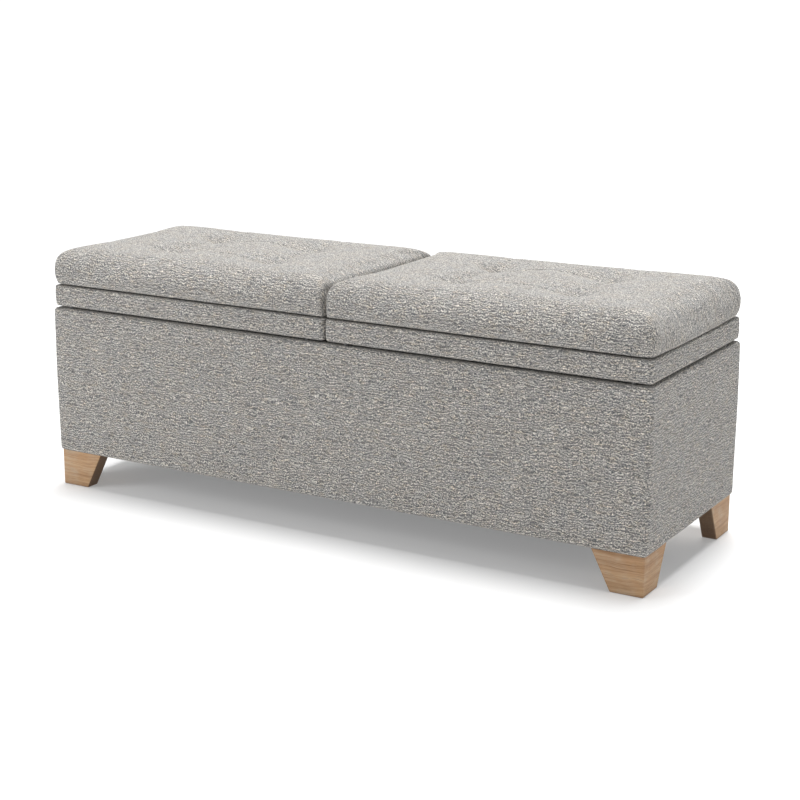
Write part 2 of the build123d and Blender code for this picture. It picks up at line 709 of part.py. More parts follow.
def cushion(side, name):
    """Foam cushion in its sewn cover, held down by tufting ties through the board."""
    ties_z = (BAND_TOP, DIMPLE_Z)
    tie_hole = TWINE + RUNNING_CLEARANCE
    with BuildPart() as foam:
        add(cushion_body(side, FABRIC))
        drill(tuft_places(side), tie_hole, ties_z)
    save(foam.part, f"{name}_cushion_foam")
    with BuildPart() as cover:
        add(cushion_body(side, 0.0))
        add(cushion_body(side, FABRIC), mode=Mode.SUBTRACT)
        drill(tuft_places(side), tie_hole, ties_z)
    save(cover.part, f"{name}_cushion_cover")
    with BuildPart() as ties:
        drill(tuft_places(side), TWINE, (BOARD_BOTTOM - WASHER, DIMPLE_Z + TWINE), mode=Mode.ADD)
        drill(tuft_places(side), WASHER_RADIUS, (BOARD_BOTTOM - WASHER, BOARD_BOTTOM), mode=Mode.ADD)
        with Locations(*[(x, y, DIMPLE_Z + TWINE) for x, y in tuft_places(side)]):
            Cylinder(TWINE, STITCH_LENGTH, rotation=(0, 90, 0))
    save(ties.part, f"{name}_tuft_ties")


def lid_screws(side, name):
    """Screws of the lid's hinge leaves and of its stay's bracket."""
    hinge_heads = [(x, y, LID_BOTTOM - LEAF) for x, y in hinge_screw_places(side)]
    bracket_heads = [(x, y, BRACKET_Z - BRACKET_PLATE) for x, y in bracket_screw_places(side)]
    with BuildPart() as group:
        add(screws(hinge_heads, (0, 0, -1), HINGE_SCREW))
        add(screws(bracket_heads, (0, 0, -1), STAY_SCREW))
    save(group.part, f"{name}_lid_screws")


def main():
    os.makedirs("parts", exist_ok=True)
    box_panels()
    bottom_cleats()
    corner_blocks()
    box_padding()
    box_cover()
    divider_cap()
    dust_cover()
    for side_x, end in ((-1, "left"), (1, "right")):
        foot(side_x, -1, f"front_{end}_foot")
        foot(side_x, 1, f"rear_{end}_foot")
    foot_fixings()
    panel_screws()
    rim_bumpers()
    hinges()
    box_hardware_screws()
    for name, side in SIDES.items():
        compartment_lining(side, name)
        stay_housing(side, name)
        stay_arm(side, name)
        stay_link(side, name)
        stay_bracket(side, name)
        lid_frame(side, name)
        lid_band(side, name)
        lid_lining(side, name)
        cushion(side, name)
        lid_screws(side, name)


main()
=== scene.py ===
import math

import bmesh
import bpy
import numpy as np
from mathutils import Matrix, Vector, noise


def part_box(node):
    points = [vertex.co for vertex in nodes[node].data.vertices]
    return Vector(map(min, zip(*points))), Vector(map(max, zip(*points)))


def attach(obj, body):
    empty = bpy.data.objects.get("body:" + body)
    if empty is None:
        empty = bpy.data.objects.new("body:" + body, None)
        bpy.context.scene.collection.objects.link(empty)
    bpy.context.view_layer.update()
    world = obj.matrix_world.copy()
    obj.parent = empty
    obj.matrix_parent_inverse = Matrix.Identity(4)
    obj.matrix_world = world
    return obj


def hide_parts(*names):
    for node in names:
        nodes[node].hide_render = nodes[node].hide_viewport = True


# The looks of a storage bench: tweed upholstery, tufted cushions, lined compartments and oak feet,
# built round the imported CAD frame. Metres, and places come from the frame's boxes.

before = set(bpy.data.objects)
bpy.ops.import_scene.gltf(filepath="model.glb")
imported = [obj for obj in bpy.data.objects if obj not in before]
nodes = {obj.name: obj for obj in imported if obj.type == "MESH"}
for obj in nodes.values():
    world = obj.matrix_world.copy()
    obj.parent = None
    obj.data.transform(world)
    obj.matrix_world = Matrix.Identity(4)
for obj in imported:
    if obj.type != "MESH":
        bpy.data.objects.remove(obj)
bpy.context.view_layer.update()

MM = 0.001
TINY = 1e-9
SIDES = {"left": -1, "right": 1}

# Upholstery
FABRIC = 1.5 * MM
SKIN_STEP = 14 * MM
BOX_EDGE = 6.5 * MM
BOX_CORNER = 9 * MM
BOX_HEM = 60 * MM
BOX_RIM = 25.5 * MM  # from the box's face to the inner edge of the rim
BOX_SWELL = 0.9 * MM
BAND_EDGE = 5 * MM
BAND_TOP_EDGE = 3.5 * MM
BAND_CORNER = 8 * MM
BAND_PAD_EDGE = 4 * MM
BAND_HEM = 20 * MM
BAND_SWELL = 0.8 * MM
WADDING_GAP = 0.1 * MM
SLACK = 0.7 * MM  # how far the hand-pulled fabric wanders from flat

# Cushions
CELL = 6 * MM
FRONT_ROLL = 27 * MM
INNER_ROLL = 12 * MM
OUTER_ROLL = {"left": 21 * MM, "right": 26 * MM}
FRONT_CRISP = 2.25  # 2 is a circle's roundness, and more is squarer
INNER_CRISP = 3.4
OUTER_CRISP = {"left": 3.0, "right": 2.3}
INNER_PLAN = 5.0  # the same for the corners seen from above
OUTER_PLAN = 3.4
ROW_PITCH = 4.9 * MM  # the tweed's rows of slubs
ROW_SWAY = 2.1  # rows
ROW_DRIFT = 3.5  # rows
TWEED_RELIEF = 1.6 * MM
SEAM_TUCK = 7 * MM
INNER_TUCK = 1.5 * MM
SEAM_LIFT = 2.8 * MM  # the seam's edge above the band
SEAM_RISE = 30 * MM  # from the bottom seam to the widest line
CROWN = 5 * MM
OUTER_RISE = 4.5 * MM  # the right cushion is fuller towards its outer end
DIMPLE = 8 * MM
DIMPLE_REACH = 10 * MM
BOWL = 9 * MM
BOWL_REACH = 42 * MM
PULL = 2.6 * MM
PULL_WIDTH = 4.5 * MM
PULL_REACH = 36 * MM
PUCKER = 0.5 * MM
SWELL_CAP = 6 * MM
SWELL_ROOM = 2.5 * MM  # the pad swells to the CAD size
INNER_ROOM = 0.4 * MM
CROWN_ROOM = 5 * MM
SIM_FRAMES = 20
PRESSURE = 4.0
STRETCH_STIFFNESS = 12.0
BEND_STIFFNESS = 0.6
WASHER_RADIUS = 9 * MM
TWINE = 0.64 * MM
STITCH = ((3.2, 14), (4, 4), (3.88, 1.6), (3.2, 0.9), (1.8, 0.75), (-0.2, 0.7))  # mm aside and below its top
PIECING_SEAMS = (0.262, 0.703)  # shares of the right cushion's length
PIECING_DEPTH = 1.8 * MM
PIECING_WIDTH = 1.2 * MM

# Linings and feet
SAG_REACH = 60 * MM
END_GRAIN_AND_SHADE = 0.85  # how much the sloped, downward-facing faces of the feet darken: darker end grain with painted shade

# Studio
FLOOR_SIZE = 120.0
FLOOR_GLOW = 0.24
SUN = 3.6
FRONT_LIGHT = 35.0
SIDE_LIGHT = 11.0
BACK_LIGHT = 42.0
WORLD_LIGHT = 0.25
LENS = 77.6
CAMERA_PLACE = (1.578, -2.620, 1.000)
CAMERA_TURN = 30.47  # degrees, like the next two
CAMERA_DOWN = 14.60
CAMERA_ROLL = 0.15


# Meshes


def link(name, data):
    """A new object in the scene."""
    made = bpy.data.objects.new(name, data)
    bpy.context.scene.collection.objects.link(made)
    return made


def points_of(piece, what="co"):
    """Each vertex's place, or its normal."""
    return np.array([getattr(v, what) for v in piece.data.vertices])


def move_points(piece, points):
    piece.data.vertices.foreach_set("co", points.ravel())
    piece.data.update()


def ripple(*place):
    """Smooth noise between about -1 and 1."""
    return noise.noise(Vector(place))


def make_piece(name, vertices, faces, uvs, material):
    """A smooth-shaded object from vertices, faces and, for each face corner, a place on the cloth."""
    mesh = bpy.data.meshes.new(name)
    mesh.from_pydata([tuple(v) for v in vertices], [], faces)
    layer = mesh.uv_layers.new(name="weave")
    layer.data.foreach_set("uv", np.asarray(uvs, np.float32).ravel())
    mesh.polygons.foreach_set("use_smooth", [True] * len(mesh.polygons))
    mesh.materials.append(material)
    return link(name, mesh)


def clean(piece, merge=False):
    """Turn every face outward, and merge points that coincide if asked to."""
    work = bmesh.new()
    work.from_mesh(piece.data)
    if merge:
        bmesh.ops.remove_doubles(work, verts=work.verts, dist=1e-6)
    bmesh.ops.recalc_face_normals(work, faces=work.faces)
    work.to_mesh(piece.data)
    work.free()
    return piece


def grid(places_down, places_across, closed=False, start=0):
    """The faces of rows of points, each row a closed loop, and the cloth places of their corners. closed
    joins the last row to the first. A loop has one more place than it has points."""
    rows = len(places_down) - closed
    columns = len(places_across) - 1
    faces = []
    uvs = []
    for r in range(len(places_down) - 1):
        for c in range(columns):
            corners = ((r, c), (r, c + 1), (r + 1, c + 1), (r + 1, c))
            faces.append([start + a % rows * columns + b % columns for a, b in corners])
            uvs += [(places_down[a], places_across[b]) for a, b in corners]
    return faces, uvs


def lengths(points):
    """Distance along a line of points, from its first."""
    points = np.asarray(points, float)
    return np.concatenate([[0.0], np.cumsum(np.linalg.norm(np.diff(points, axis=0), axis=1))])


def plan_ring(x, y, corner, inset, runs, arc_steps):
    """Points round a rounded rectangle drawn in by an inset. runs is the steps on each straight side."""
    reach = max(corner, inset)
    radius = max(corner - inset, 0.0)
    sides = ((x[0] + reach, x[1] - reach), (y[0] + reach, y[1] - reach))
    centres = [(sides[0][a], sides[1][b]) for a, b in ((1, 0), (1, 1), (0, 1), (0, 0))]

    def on_arc(k, degrees):
        return bend(centres[k], radius, degrees, degrees, 0)[0]

    ring = []
    for k in range(4):
        face = 90.0 * k
        ring += [on_arc(k, face - 90.0 + 90.0 * s / arc_steps) for s in range(arc_steps + 1)]
        start = Vector(on_arc(k, face))
        end = Vector(on_arc((k + 1) % 4, face))
        ring += [tuple(start.lerp(end, s / runs[k])) for s in range(1, runs[k])]
    return ring


def sweep(name, x, y, corner, profile, material, slack, seed=0.0, step=11 * MM):
    """A closed skin whose cross-section runs round a rounded rectangle. The cross-section is a loop of
    (outward offset, height, softness), and slack times softness is how far it wanders."""
    arc_steps = 6
    sizes = (y[1] - y[0], x[1] - x[0])
    runs = [max(2, round((sizes[k % 2] - 2 * corner) / step)) for k in range(4)]
    outline = plan_ring(x, y, corner, 0.0, runs, arc_steps)
    around = lengths(outline + outline[:1])
    along = lengths([(o, z) for o, z, _ in profile + profile[:1]])
    vertices = []
    for offset, height, softness in profile:
        ring = plan_ring(x, y, corner, -offset, runs, arc_steps)
        outer = plan_ring(x, y, corner, -offset - slack, runs, arc_steps) if slack and softness else ring
        for (px, py), (qx, qy), (bx, by) in zip(ring, outer, outline):
            wander = ripple(bx * 9 + seed, by * 9, height * 11)
            wander += 0.5 * ripple(bx * 24, by * 24 + seed, height * 30)
            share = wander * softness
            vertices.append((px + (qx - px) * share, py + (qy - py) * share, height))
    faces, places = grid(along, around, closed=True)
    uvs = [(u, v) for v, u in places]
    return clean(make_piece(name, vertices, faces, uvs, material), merge=True), around[-1]


def bend(centre, radius, start, end, steps=6):
    """Points on an arc, in degrees from its first axis towards its second."""
    turn = np.radians(np.linspace(start, end, steps + 1))
    return [(centre[0] + radius * math.cos(a), centre[1] + radius * math.sin(a)) for a in turn]


def run(start, end, step, swell=0.0):
    """Points between two points of a cross-section, both left out, swelling outward in the middle."""
    count = max(2, round(math.dist(start, end) / step))
    return [(start[0] + (end[0] - start[0]) * t + swell * math.sin(math.pi * t) ** 0.7,
             start[1] + (end[1] - start[1]) * t) for t in (s / count for s in range(1, count))]


def inside(line, thickness):
    """Which way each point of a line of a cross-section heads, and the line a thickness to its left."""
    direction = np.gradient(line, axis=0)
    direction /= np.linalg.norm(direction, axis=1)[:, None]
    return direction, line + np.stack([-direction[:, 1], direction[:, 0]], 1) * thickness


def skin(path, thickness):
    """A closed cross-section: a path of (offset, height, softness) and its copy on the inside, with
    rounded folds where it ends."""
    line = np.array([(o, z) for o, z, _ in path])
    direction, inner = inside(line, thickness)
    loop = list(path)
    end = (line[-1] + inner[-1]) / 2 + direction[-1] * thickness / 2
    loop.append((end[0], end[1], path[-1][2]))
    loop += [(o, z, p[2]) for (o, z), p in zip(inner[::-1], path[::-1])]
    start = (line[0] + inner[0]) / 2 - direction[0] * thickness / 2
    loop.append((start[0], start[1], path[0][2]))
    return loop


def soft(points, softness):
    return [(o, z, softness) for o, z in points]


def wrapped_path(z, bottom_edge, top_edge, hem, lap, swell, step):
    """The outside of a fabric wrapped round a frame: hem below, rounded edges, side, lap on top."""
    low, high = z[0] + bottom_edge, z[1] - top_edge
    path = soft([(-hem, z[0])] + run((-hem, z[0]), (-bottom_edge, z[0]), step), 0.0)
    path += soft(bend((-bottom_edge, low), bottom_edge, -90, 0), 0.6)
    path += soft(run((0.0, low), (0.0, high), step, swell), 1.0)
    path += soft(bend((-top_edge, high), top_edge, 0, 90), 0.5)
    return path + soft(run((-top_edge, z[1]), (-lap, z[1]), step) + [(-lap, z[1])], 0.0)


def box_grid(lines, shape, open_top=False):
    """The surface of a box ruled by lines along X, Y and Z and put into shape. Returns vertices, faces and
    cloth places, unrolled from the top down over each side, and the ruled points before shaping."""
    xs, ys, zs = lines
    last = (len(xs) - 1, len(ys) - 1, len(zs) - 1)
    index = {}
    ruled = []
    for i in range(last[0] + 1):
        for j in range(last[1] + 1):
            edge = i in (0, last[0]) or j in (0, last[1])
            for k in range(last[2] + 1) if edge else (0, last[2]):
                index[i, j, k] = len(ruled)
                ruled.append((xs[i], ys[j], zs[k]))
    ruled = np.array(ruled)
    shaped = shape(ruled)
    middle = (last[0] // 2, last[1] // 2)
    level = 0 if open_top else last[2]
    across = lengths([shaped[index[i, middle[1], level]] for i in range(last[0] + 1)])
    deep = lengths([shaped[index[middle[0], j, level]] for j in range(last[1] + 1)])
    drop = lengths([shaped[index[middle[0], 0, k]] for k in range(last[2], -1, -1)])[::-1]
    faces = []
    uvs = []

    unrolled = {
        "top": lambda i, j, k: (across[i], deep[j]),
        "below": lambda i, j, k: (across[i], deep[-1] + drop[0] + deep[-1] - deep[j]),
        "front": lambda i, j, k: (across[i], deep[0] - drop[k]),
        "back": lambda i, j, k: (across[i], deep[-1] + drop[k]),
        "low end": lambda i, j, k: (across[0] - drop[k], deep[j]),
        "high end": lambda i, j, k: (across[-1] + drop[k], deep[j]),
    }

    def add(corners, side):
        faces.append([index[c] for c in corners])
        uvs.extend(unrolled[side](*c) for c in corners)

    for i in range(last[0]):
        for j in range(last[1]):
            add([(i, j, 0), (i, j + 1, 0), (i + 1, j + 1, 0), (i + 1, j, 0)], "top" if open_top else "below")
            if not open_top:
                k = last[2]
                add([(i, j, k), (i + 1, j, k), (i + 1, j + 1, k), (i, j + 1, k)], "top")
    for k in range(last[2]):
        for i in range(last[0]):
            j = last[1]
            add([(i, 0, k), (i + 1, 0, k), (i + 1, 0, k + 1), (i, 0, k + 1)], "front")
            add([(i + 1, j, k), (i, j, k), (i, j, k + 1), (i + 1, j, k + 1)], "back")
        for j in range(last[1]):
            i = last[0]
            add([(0, j + 1, k), (0, j, k), (0, j, k + 1), (0, j + 1, k + 1)], "low end")
            add([(i, j, k), (i, j + 1, k), (i, j + 1, k + 1), (i, j, k + 1)], "high end")
    return shaped, faces, uvs, ruled, index


def ruled_lines(low, high, step, places=(), offsets=()):
    """Evenly spaced lines, with extra ones at offsets from some places."""
    lines = list(np.linspace(low, high, round((high - low) / step) + 1))
    extra = [p + o for p in places for o in offsets if low < p + o < high]
    keep = [v for v in lines if all(abs(v - e) > 0.45 * step / 2 for e in extra) or v in (low, high)]
    return np.array(sorted(keep + extra))


def tube(points, radius, sides=8, start=0):
    """Vertices, faces and cloth places of a closed tube along points, numbered from start."""
    points = [Vector(p) for p in points]
    far = lengths([tuple(p) for p in points])
    ahead = (points[1] - points[0]).normalized()
    side = ahead.orthogonal().normalized()
    vertices = []
    for n, point in enumerate(points):
        ahead = (points[min(n + 1, len(points) - 1)] - points[max(n - 1, 0)]).normalized()
        side = (side - ahead * side.dot(ahead)).normalized()
        up = ahead.cross(side)
        for s in range(sides):
            angle = math.tau * s / sides
            vertices.append(point + (side * math.cos(angle) + up * math.sin(angle)) * radius)
    faces, uvs = grid(far, [s * radius for s in range(sides + 1)], start=start)
    for cap in (list(range(sides))[::-1], [(len(points) - 1) * sides + s for s in range(sides)]):
        faces.append([start + c for c in cap])
        uvs += [(0.0, 0.0)] * sides
    return vertices, faces, uvs


def tubes(name, paths, radius, material, sides=8):
    """One piece made of several closed tubes."""
    vertices, faces, uvs = [], [], []
    for path in paths:
        v, f, u = tube(path, radius, sides, len(vertices))
        vertices += v
        faces += f
        uvs += u
    return clean(make_piece(name, vertices, faces, uvs, material))


def declare(piece, body, node=None):
    """Say which body a piece rides on and the CAD node that it replaces."""
    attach(piece, body)
    if node:
        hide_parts(node)


# Materials


class Graph:
    """A material's node tree, built by calls that return sockets."""

    def __init__(self, name, **shader):
        self.material = bpy.data.materials.new(name)
        self.material.use_nodes = True
        self.tree = self.material.node_tree
        self.tree.nodes.clear()
        output = self.tree.nodes.new("ShaderNodeOutputMaterial")
        self.shader = self.tree.nodes.new("ShaderNodeBsdfPrincipled")
        self.tree.links.new(self.shader.outputs["BSDF"], output.inputs["Surface"])
        for key, value in shader.items():
            self.feed(self.shader.inputs[key.replace("_", " ")], value)

    def feed(self, socket, value):
        if isinstance(value, bpy.types.NodeSocket):
            self.tree.links.new(value, socket)
        else:
            socket.default_value = value

    def node(self, kind, inputs=(), **settings):
        made = self.tree.nodes.new("ShaderNode" + kind)
        for key, value in settings.items():
            setattr(made, key, value)
        for socket, value in dict(inputs).items():
            self.feed(made.inputs[socket], value)
        return made

    def math(self, operation, a, b=0.0, c=0.0, clamp=False):
        return self.node("Math", {0: a, 1: b, 2: c}, operation=operation, use_clamp=clamp).outputs[0]

    def times(self, a, b):
        return self.math("MULTIPLY", a, b)

    def times_plus(self, a, b, c):
        return self.math("MULTIPLY_ADD", a, b, c)

    def place(self, kind):
        """Coordinates: on the cloth (weave), in the object's space, or the surface's normal."""
        if kind == "weave":
            return self.node("UVMap", uv_map="weave").outputs[0]
        return self.node("TexCoord").outputs["Normal" if kind == "normal" else "Object"]

    def split(self, vector):
        return self.node("SeparateXYZ", {0: vector}).outputs

    def join(self, x, y, z=0.0):
        return self.node("CombineXYZ", {0: x, 1: y, 2: z}).outputs[0]

    def noise(self, vector, scale, detail=2.0, rough=0.5, distortion=0.0):
        """Noise at one scale, or at a scale for each axis."""
        if isinstance(scale, tuple):
            stretch = {0: vector, 1: (*scale, 1.0)[:3]}
            vector = self.node("VectorMath", stretch, operation="MULTIPLY").outputs[0]
            scale = 1.0
        inputs = {"Vector": vector, "Scale": scale, "Detail": detail, "Roughness": rough}
        inputs["Distortion"] = distortion
        return self.node("TexNoise", inputs).outputs[0]

    def ramp(self, factor, stops, smooth=False):
        ramp = self.node("ValToRGB", {0: factor})
        elements = ramp.color_ramp.elements
        ramp.color_ramp.interpolation = "EASE" if smooth else "LINEAR"
        while len(elements) < len(stops):
            elements.new(0.5)
        for element, (place, colour) in zip(elements, stops):
            element.position = place
            element.color = (*colour, 1.0)
        return ramp.outputs[0]

    def rescale(self, value, low, high, to_low=0.0, to_high=1.0):
        inputs = {0: value, 1: low, 2: high, 3: to_low, 4: to_high}
        return self.node("MapRange", inputs).outputs[0]

    def mix(self, factor, a, b, blend="MIX"):
        made = self.node("Mix", data_type="RGBA", blend_type=blend)
        self.feed(made.inputs[0], factor)
        for socket, value in ((6, a), (7, b)):
            self.feed(made.inputs[socket], (*value, 1.0) if isinstance(value, tuple) else value)
        return made.outputs[2]

    def tint(self, factor, colour, tone):
        return self.mix(factor, colour, self.mix(1.0, colour, tone, "MULTIPLY"))

    def finish(self, colour, roughness, height, depth, strength=1.0):
        """Set the surface's colour, roughness and relief. roughness is a value, or a noise and the range
        that it gives. depth is the relief's height in metres."""
        if isinstance(roughness, tuple):
            noise, low, high = roughness
            roughness = self.rescale(noise, 0.3, 0.7, low, high)
        self.feed(self.shader.inputs["Base Color"], colour)
        self.feed(self.shader.inputs["Roughness"], roughness)
        bump = self.node("Bump", {"Strength": strength, "Distance": depth, "Height": height})
        self.feed(self.shader.inputs["Normal"], bump.outputs[0])
        return self.material


def tweed():
    """Heathered tweed: fine crinkled grain, and thin rippling rows of cream slubs with dark yarn between,
    with painted shade in the relief's low parts and painted highlight on its crests.
    """
    g = Graph("upholstery_tweed", Sheen_Weight=0.12, Sheen_Roughness=0.45, Specular_IOR_Level=0.2)
    cloth = g.place("weave")
    v = g.split(cloth)[1]
    sway = g.noise(cloth, (150.0, 165.0), 1.0, 0.6)
    drift = g.noise(cloth, (28.0, 45.0), 1.0, 0.5)
    rows = g.times_plus(sway, ROW_SWAY, g.math("DIVIDE", v, ROW_PITCH))
    rows = g.times_plus(drift, ROW_DRIFT, rows)
    wave = g.math("SINE", g.times(rows, math.tau))
    dash = g.rescale(g.noise(cloth, (85.0, 330.0), 1.0, 0.5, 0.4), 0.30, 0.68)
    grain = g.noise(cloth, (430.0, 620.0), 1.0, 0.65, 0.2)
    fibre = g.noise(cloth, (900.0, 1300.0), 0.0, 0.5)
    ridge = g.times(wave, g.times_plus(dash, 0.75, 0.25))
    tone = g.rescale(grain, 0.25, 0.75, -0.22, 1.08)
    tone = g.times_plus(ridge, 0.38, tone)
    tone = g.times_plus(g.math("SUBTRACT", fibre, 0.5), 0.35, tone)
    colour = g.ramp(tone, [
        (0.00, (0.12, 0.123, 0.128)),
        (0.25, (0.218, 0.212, 0.206)),
        (0.50, (0.34, 0.325, 0.305)),
        (0.75, (0.54, 0.508, 0.462)),
        (1.00, (0.84, 0.79, 0.705)),
    ])
    cool = g.rescale(g.noise(cloth, 24.0, 2.0), 0.35, 0.65)
    colour = g.tint(cool, colour, (0.975, 1.0, 1.03))
    warm = g.rescale(g.noise(cloth, (60.0, 160.0), 1.0), 0.52, 0.72)
    colour = g.tint(warm, colour, (1.04, 0.99, 0.92))
    fuzz = g.times_plus(grain, 0.8, g.times(fibre, 0.2))
    height = g.times_plus(ridge, 0.22, fuzz)
    # Painted shade and highlight: the colour darkens in the low parts of the relief and lightens on its
    # crests.
    relief_shade = g.rescale(height, 0.2, 0.8, 0.78, 1.12)
    colour = g.mix(1.0, colour, g.join(relief_shade, relief_shade, relief_shade), "MULTIPLY")
    return g.finish(colour, (fibre, 0.88, 1.0), height, TWEED_RELIEF, 0.9)


def plain_weave(name, dark, light, pitch, sheen=0.05):
    """A fine flat weave: threads over and under each other, with a little slub."""
    g = Graph(name, Sheen_Weight=sheen, Specular_IOR_Level=0.25)
    cloth = g.place("weave")
    u, v, _ = g.split(cloth)
    warp = g.math("SINE", g.times(u, math.pi / pitch))
    weft = g.math("SINE", g.times(v, math.pi / pitch))
    height = g.times_plus(g.times(warp, weft), 0.5, 0.5)
    slub = g.noise(cloth, (30.0, 900.0), 2.0)
    patch = g.noise(cloth, 14.0, 3.0)
    tone = g.math("ADD", g.times(slub, 0.5), g.times(patch, 0.3))
    tone = g.times_plus(height, 0.25, tone)
    colour = g.ramp(tone, [(0.25, dark), (0.85, light)])
    return g.finish(colour, (slub, 0.8, 0.95), height, 0.25 * MM, 0.7)


def bonded_cloth():
    """Black non-woven dust cloth with its grid of bonded dots."""
    g = Graph("dust_cloth_bonded", Specular_IOR_Level=0.3)
    cloth = g.place("weave")
    u, v, _ = g.split(cloth)
    pitch = 2.2 * MM
    dot_u = g.math("SINE", g.times(u, math.tau / pitch))
    dot_v = g.math("SINE", g.times(v, math.tau / pitch))
    dots = g.rescale(g.times(dot_u, dot_v), 0.35, 0.75)
    fibre = g.noise(cloth, (500.0, 900.0), 3.0)
    colour = g.ramp(fibre, [(0.3, (0.010, 0.010, 0.011)), (0.75, (0.045, 0.045, 0.048))])
    colour = g.mix(g.times(dots, 0.6), colour, (0.012, 0.012, 0.013))
    height = g.math("SUBTRACT", fibre, g.times(dots, 0.6))
    return g.finish(colour, (fibre, 0.6, 0.9), height, 0.2 * MM, 0.6)


def fibrefill():
    """White polyester wadding: matted fibres."""
    g = Graph("wadding_fibre", Sheen_Weight=0.4, Specular_IOR_Level=0.1)
    place = g.place("object")
    fibres = g.noise(place, (420.0, 420.0, 672.0), 4.0, 0.7, 2.0)
    lumps = g.noise(place, 45.0, 2.0)
    colour = g.ramp(fibres, [(0.3, (0.60, 0.60, 0.58)), (0.7, (0.86, 0.86, 0.84))])
    height = g.times_plus(lumps, 1.5, fibres)
    return g.finish(colour, 0.95, height, 0.8 * MM, 0.6)


def foam():
    """Cut cushion foam: pale open cells."""
    g = Graph("cushion_foam_cells", Specular_IOR_Level=0.1)
    place = g.place("object")
    cells = g.node("TexVoronoi", {"Vector": place, "Scale": 900.0}).outputs[0]
    tint = g.noise(place, 12.0, 2.0)
    colour = g.ramp(tint, [(0.3, (0.78, 0.74, 0.60)), (0.7, (0.84, 0.81, 0.70))])
    return g.finish(colour, g.rescale(cells, 0.0, 0.6, 0.75, 0.95), cells, 0.4 * MM, 0.5)


def oak():
    """Limed oak with its grain along X: fine dark pores, pale lime, slow bands, and darker end grain on the
    downward-facing sloped faces, deepened there with painted shade.
    """
    g = Graph("oak_limed", Specular_IOR_Level=0.35, Coat_Weight=0.06, Coat_Roughness=0.45)
    place = g.place("object")
    x, y, z = g.split(place)
    sway = g.times(g.noise(place, (14.0, 14.0, 30.0), 2.0), 0.010)
    bent = g.join(x, y, g.math("ADD", z, sway))
    rings = g.noise(bent, (9.0, 13.0, 330.0), 3.0, 0.6, 0.6)
    bands = g.noise(bent, (3.0, 4.5, 48.0), 2.0)
    pores = g.noise(bent, (60.0, 90.0, 1500.0), 1.0)
    tone = g.math("ADD", g.times(rings, 0.65), g.times(bands, 0.45))
    colour = g.ramp(tone, [
        (0.34, (0.215, 0.112, 0.052)),
        (0.46, (0.375, 0.212, 0.104)),
        (0.58, (0.465, 0.282, 0.148)),
        (0.72, (0.550, 0.368, 0.218)),
    ])
    lime = g.rescale(g.noise(place, 38.0, 3.0), 0.42, 0.68, 0.0, 0.65)
    lime = g.times(lime, g.rescale(rings, 0.4, 0.6, 0.2, 1.0))
    colour = g.mix(lime, colour, (0.490, 0.385, 0.280))
    open_pores = g.rescale(pores, 0.60, 0.72, 0.0, 0.55)
    colour = g.mix(open_pores, colour, (0.190, 0.108, 0.058))
    # Painted shade: faces that turn down towards the floor are darkened far beyond their end grain's own
    # colour.
    down = g.times(g.split(g.place("normal"))[2], -1.0)
    end = g.rescale(down, 0.15, 0.35, 0.0, END_GRAIN_AND_SHADE)
    flecks = g.noise(place, 900.0, 1.0)
    end_grain_and_shade = g.ramp(flecks, [(0.35, (0.050, 0.027, 0.014)), (0.65, (0.130, 0.072, 0.038))])
    colour = g.mix(end, colour, end_grain_and_shade)
    scuff = g.rescale(z, 0.0, 5 * MM, 0.35, 0.0)
    colour = g.mix(scuff, colour, (0.260, 0.180, 0.120))
    height = g.math("SUBTRACT", g.times(rings, 0.5), open_pores)
    return g.finish(colour, (rings, 0.5, 0.68), height, 0.25 * MM, 0.5)


def board_wood(name, along, through, tones, plies=0.0):
    """Sawn wood or plywood with its grain along one axis and its plies stacked through another."""
    g = Graph(name, Specular_IOR_Level=0.3)
    place = g.place("object")
    axes = g.split(place)
    scales = [120.0, 120.0, 120.0]
    scales[along] = 5.0
    fine = g.noise(place, tuple(scales), 3.0, 0.6, 0.6)
    slow = g.noise(place, tuple(s / 12.0 for s in scales), 2.0)
    tone = g.math("ADD", g.times(fine, 0.6), g.times(slow, 0.4))
    colour = g.ramp(tone, [(0.35, tones[0]), (0.65, tones[1])])
    if plies:
        stack = g.math("SINE", g.times(axes[through], math.pi / plies))
        colour = g.mix(g.rescale(stack, 0.0, 1.0, 0.0, 0.22), colour, tones[0])
    return g.finish(colour, (fine, 0.55, 0.75), fine, 0.3 * MM, 0.4)


def plated(name, colour, rough, grain=350.0):
    """Plated steel with faint brushing and handling marks."""
    g = Graph(name, Metallic=1.0)
    place = g.place("object")
    brushed = g.noise(place, (grain * 6, grain * 0.9, grain * 6), 2.0)
    marks = g.noise(place, grain, 3.0)
    low = tuple(c * 0.78 for c in colour)
    tint = g.ramp(marks, [(0.3, low), (0.65, colour)])
    return g.finish(tint, (marks, rough - 0.08, rough + 0.12), brushed, 0.03 * MM, 0.3)


def moulded(name, dark, light, rough, depth=0.08 * MM):
    """Moulded plastic or rubber with a fine spark-eroded texture."""
    g = Graph(name, Specular_IOR_Level=0.45)
    place = g.place("object")
    grain = g.noise(place, 2200.0, 2.0)
    slow = g.noise(place, 60.0, 2.0)
    colour = g.ramp(slow, [(0.3, dark), (0.7, light)])
    return g.finish(colour, (slow, rough, rough + 0.12), grain, depth, 0.4)


def waxed_twine():
    """Waxed linen twine: plies that twist round the cord, with painted shade in the grooves between them."""
    g = Graph("tufting_twine", Sheen_Weight=0.1)
    u, v, _ = g.split(g.place("weave"))
    lay = math.tau / (3 * MM)
    twist = g.math("ADD", g.times(u, lay), g.times(v, lay))
    ply = g.math("ABSOLUTE", g.math("SINE", twist))
    # Painted shade: the colour darkens towards the grooves between the plies.
    colour = g.ramp(ply, [(0.1, (0.16, 0.14, 0.12)), (0.7, (0.42, 0.39, 0.35))])
    return g.finish(colour, 0.7, ply, 0.4 * MM, 0.8)


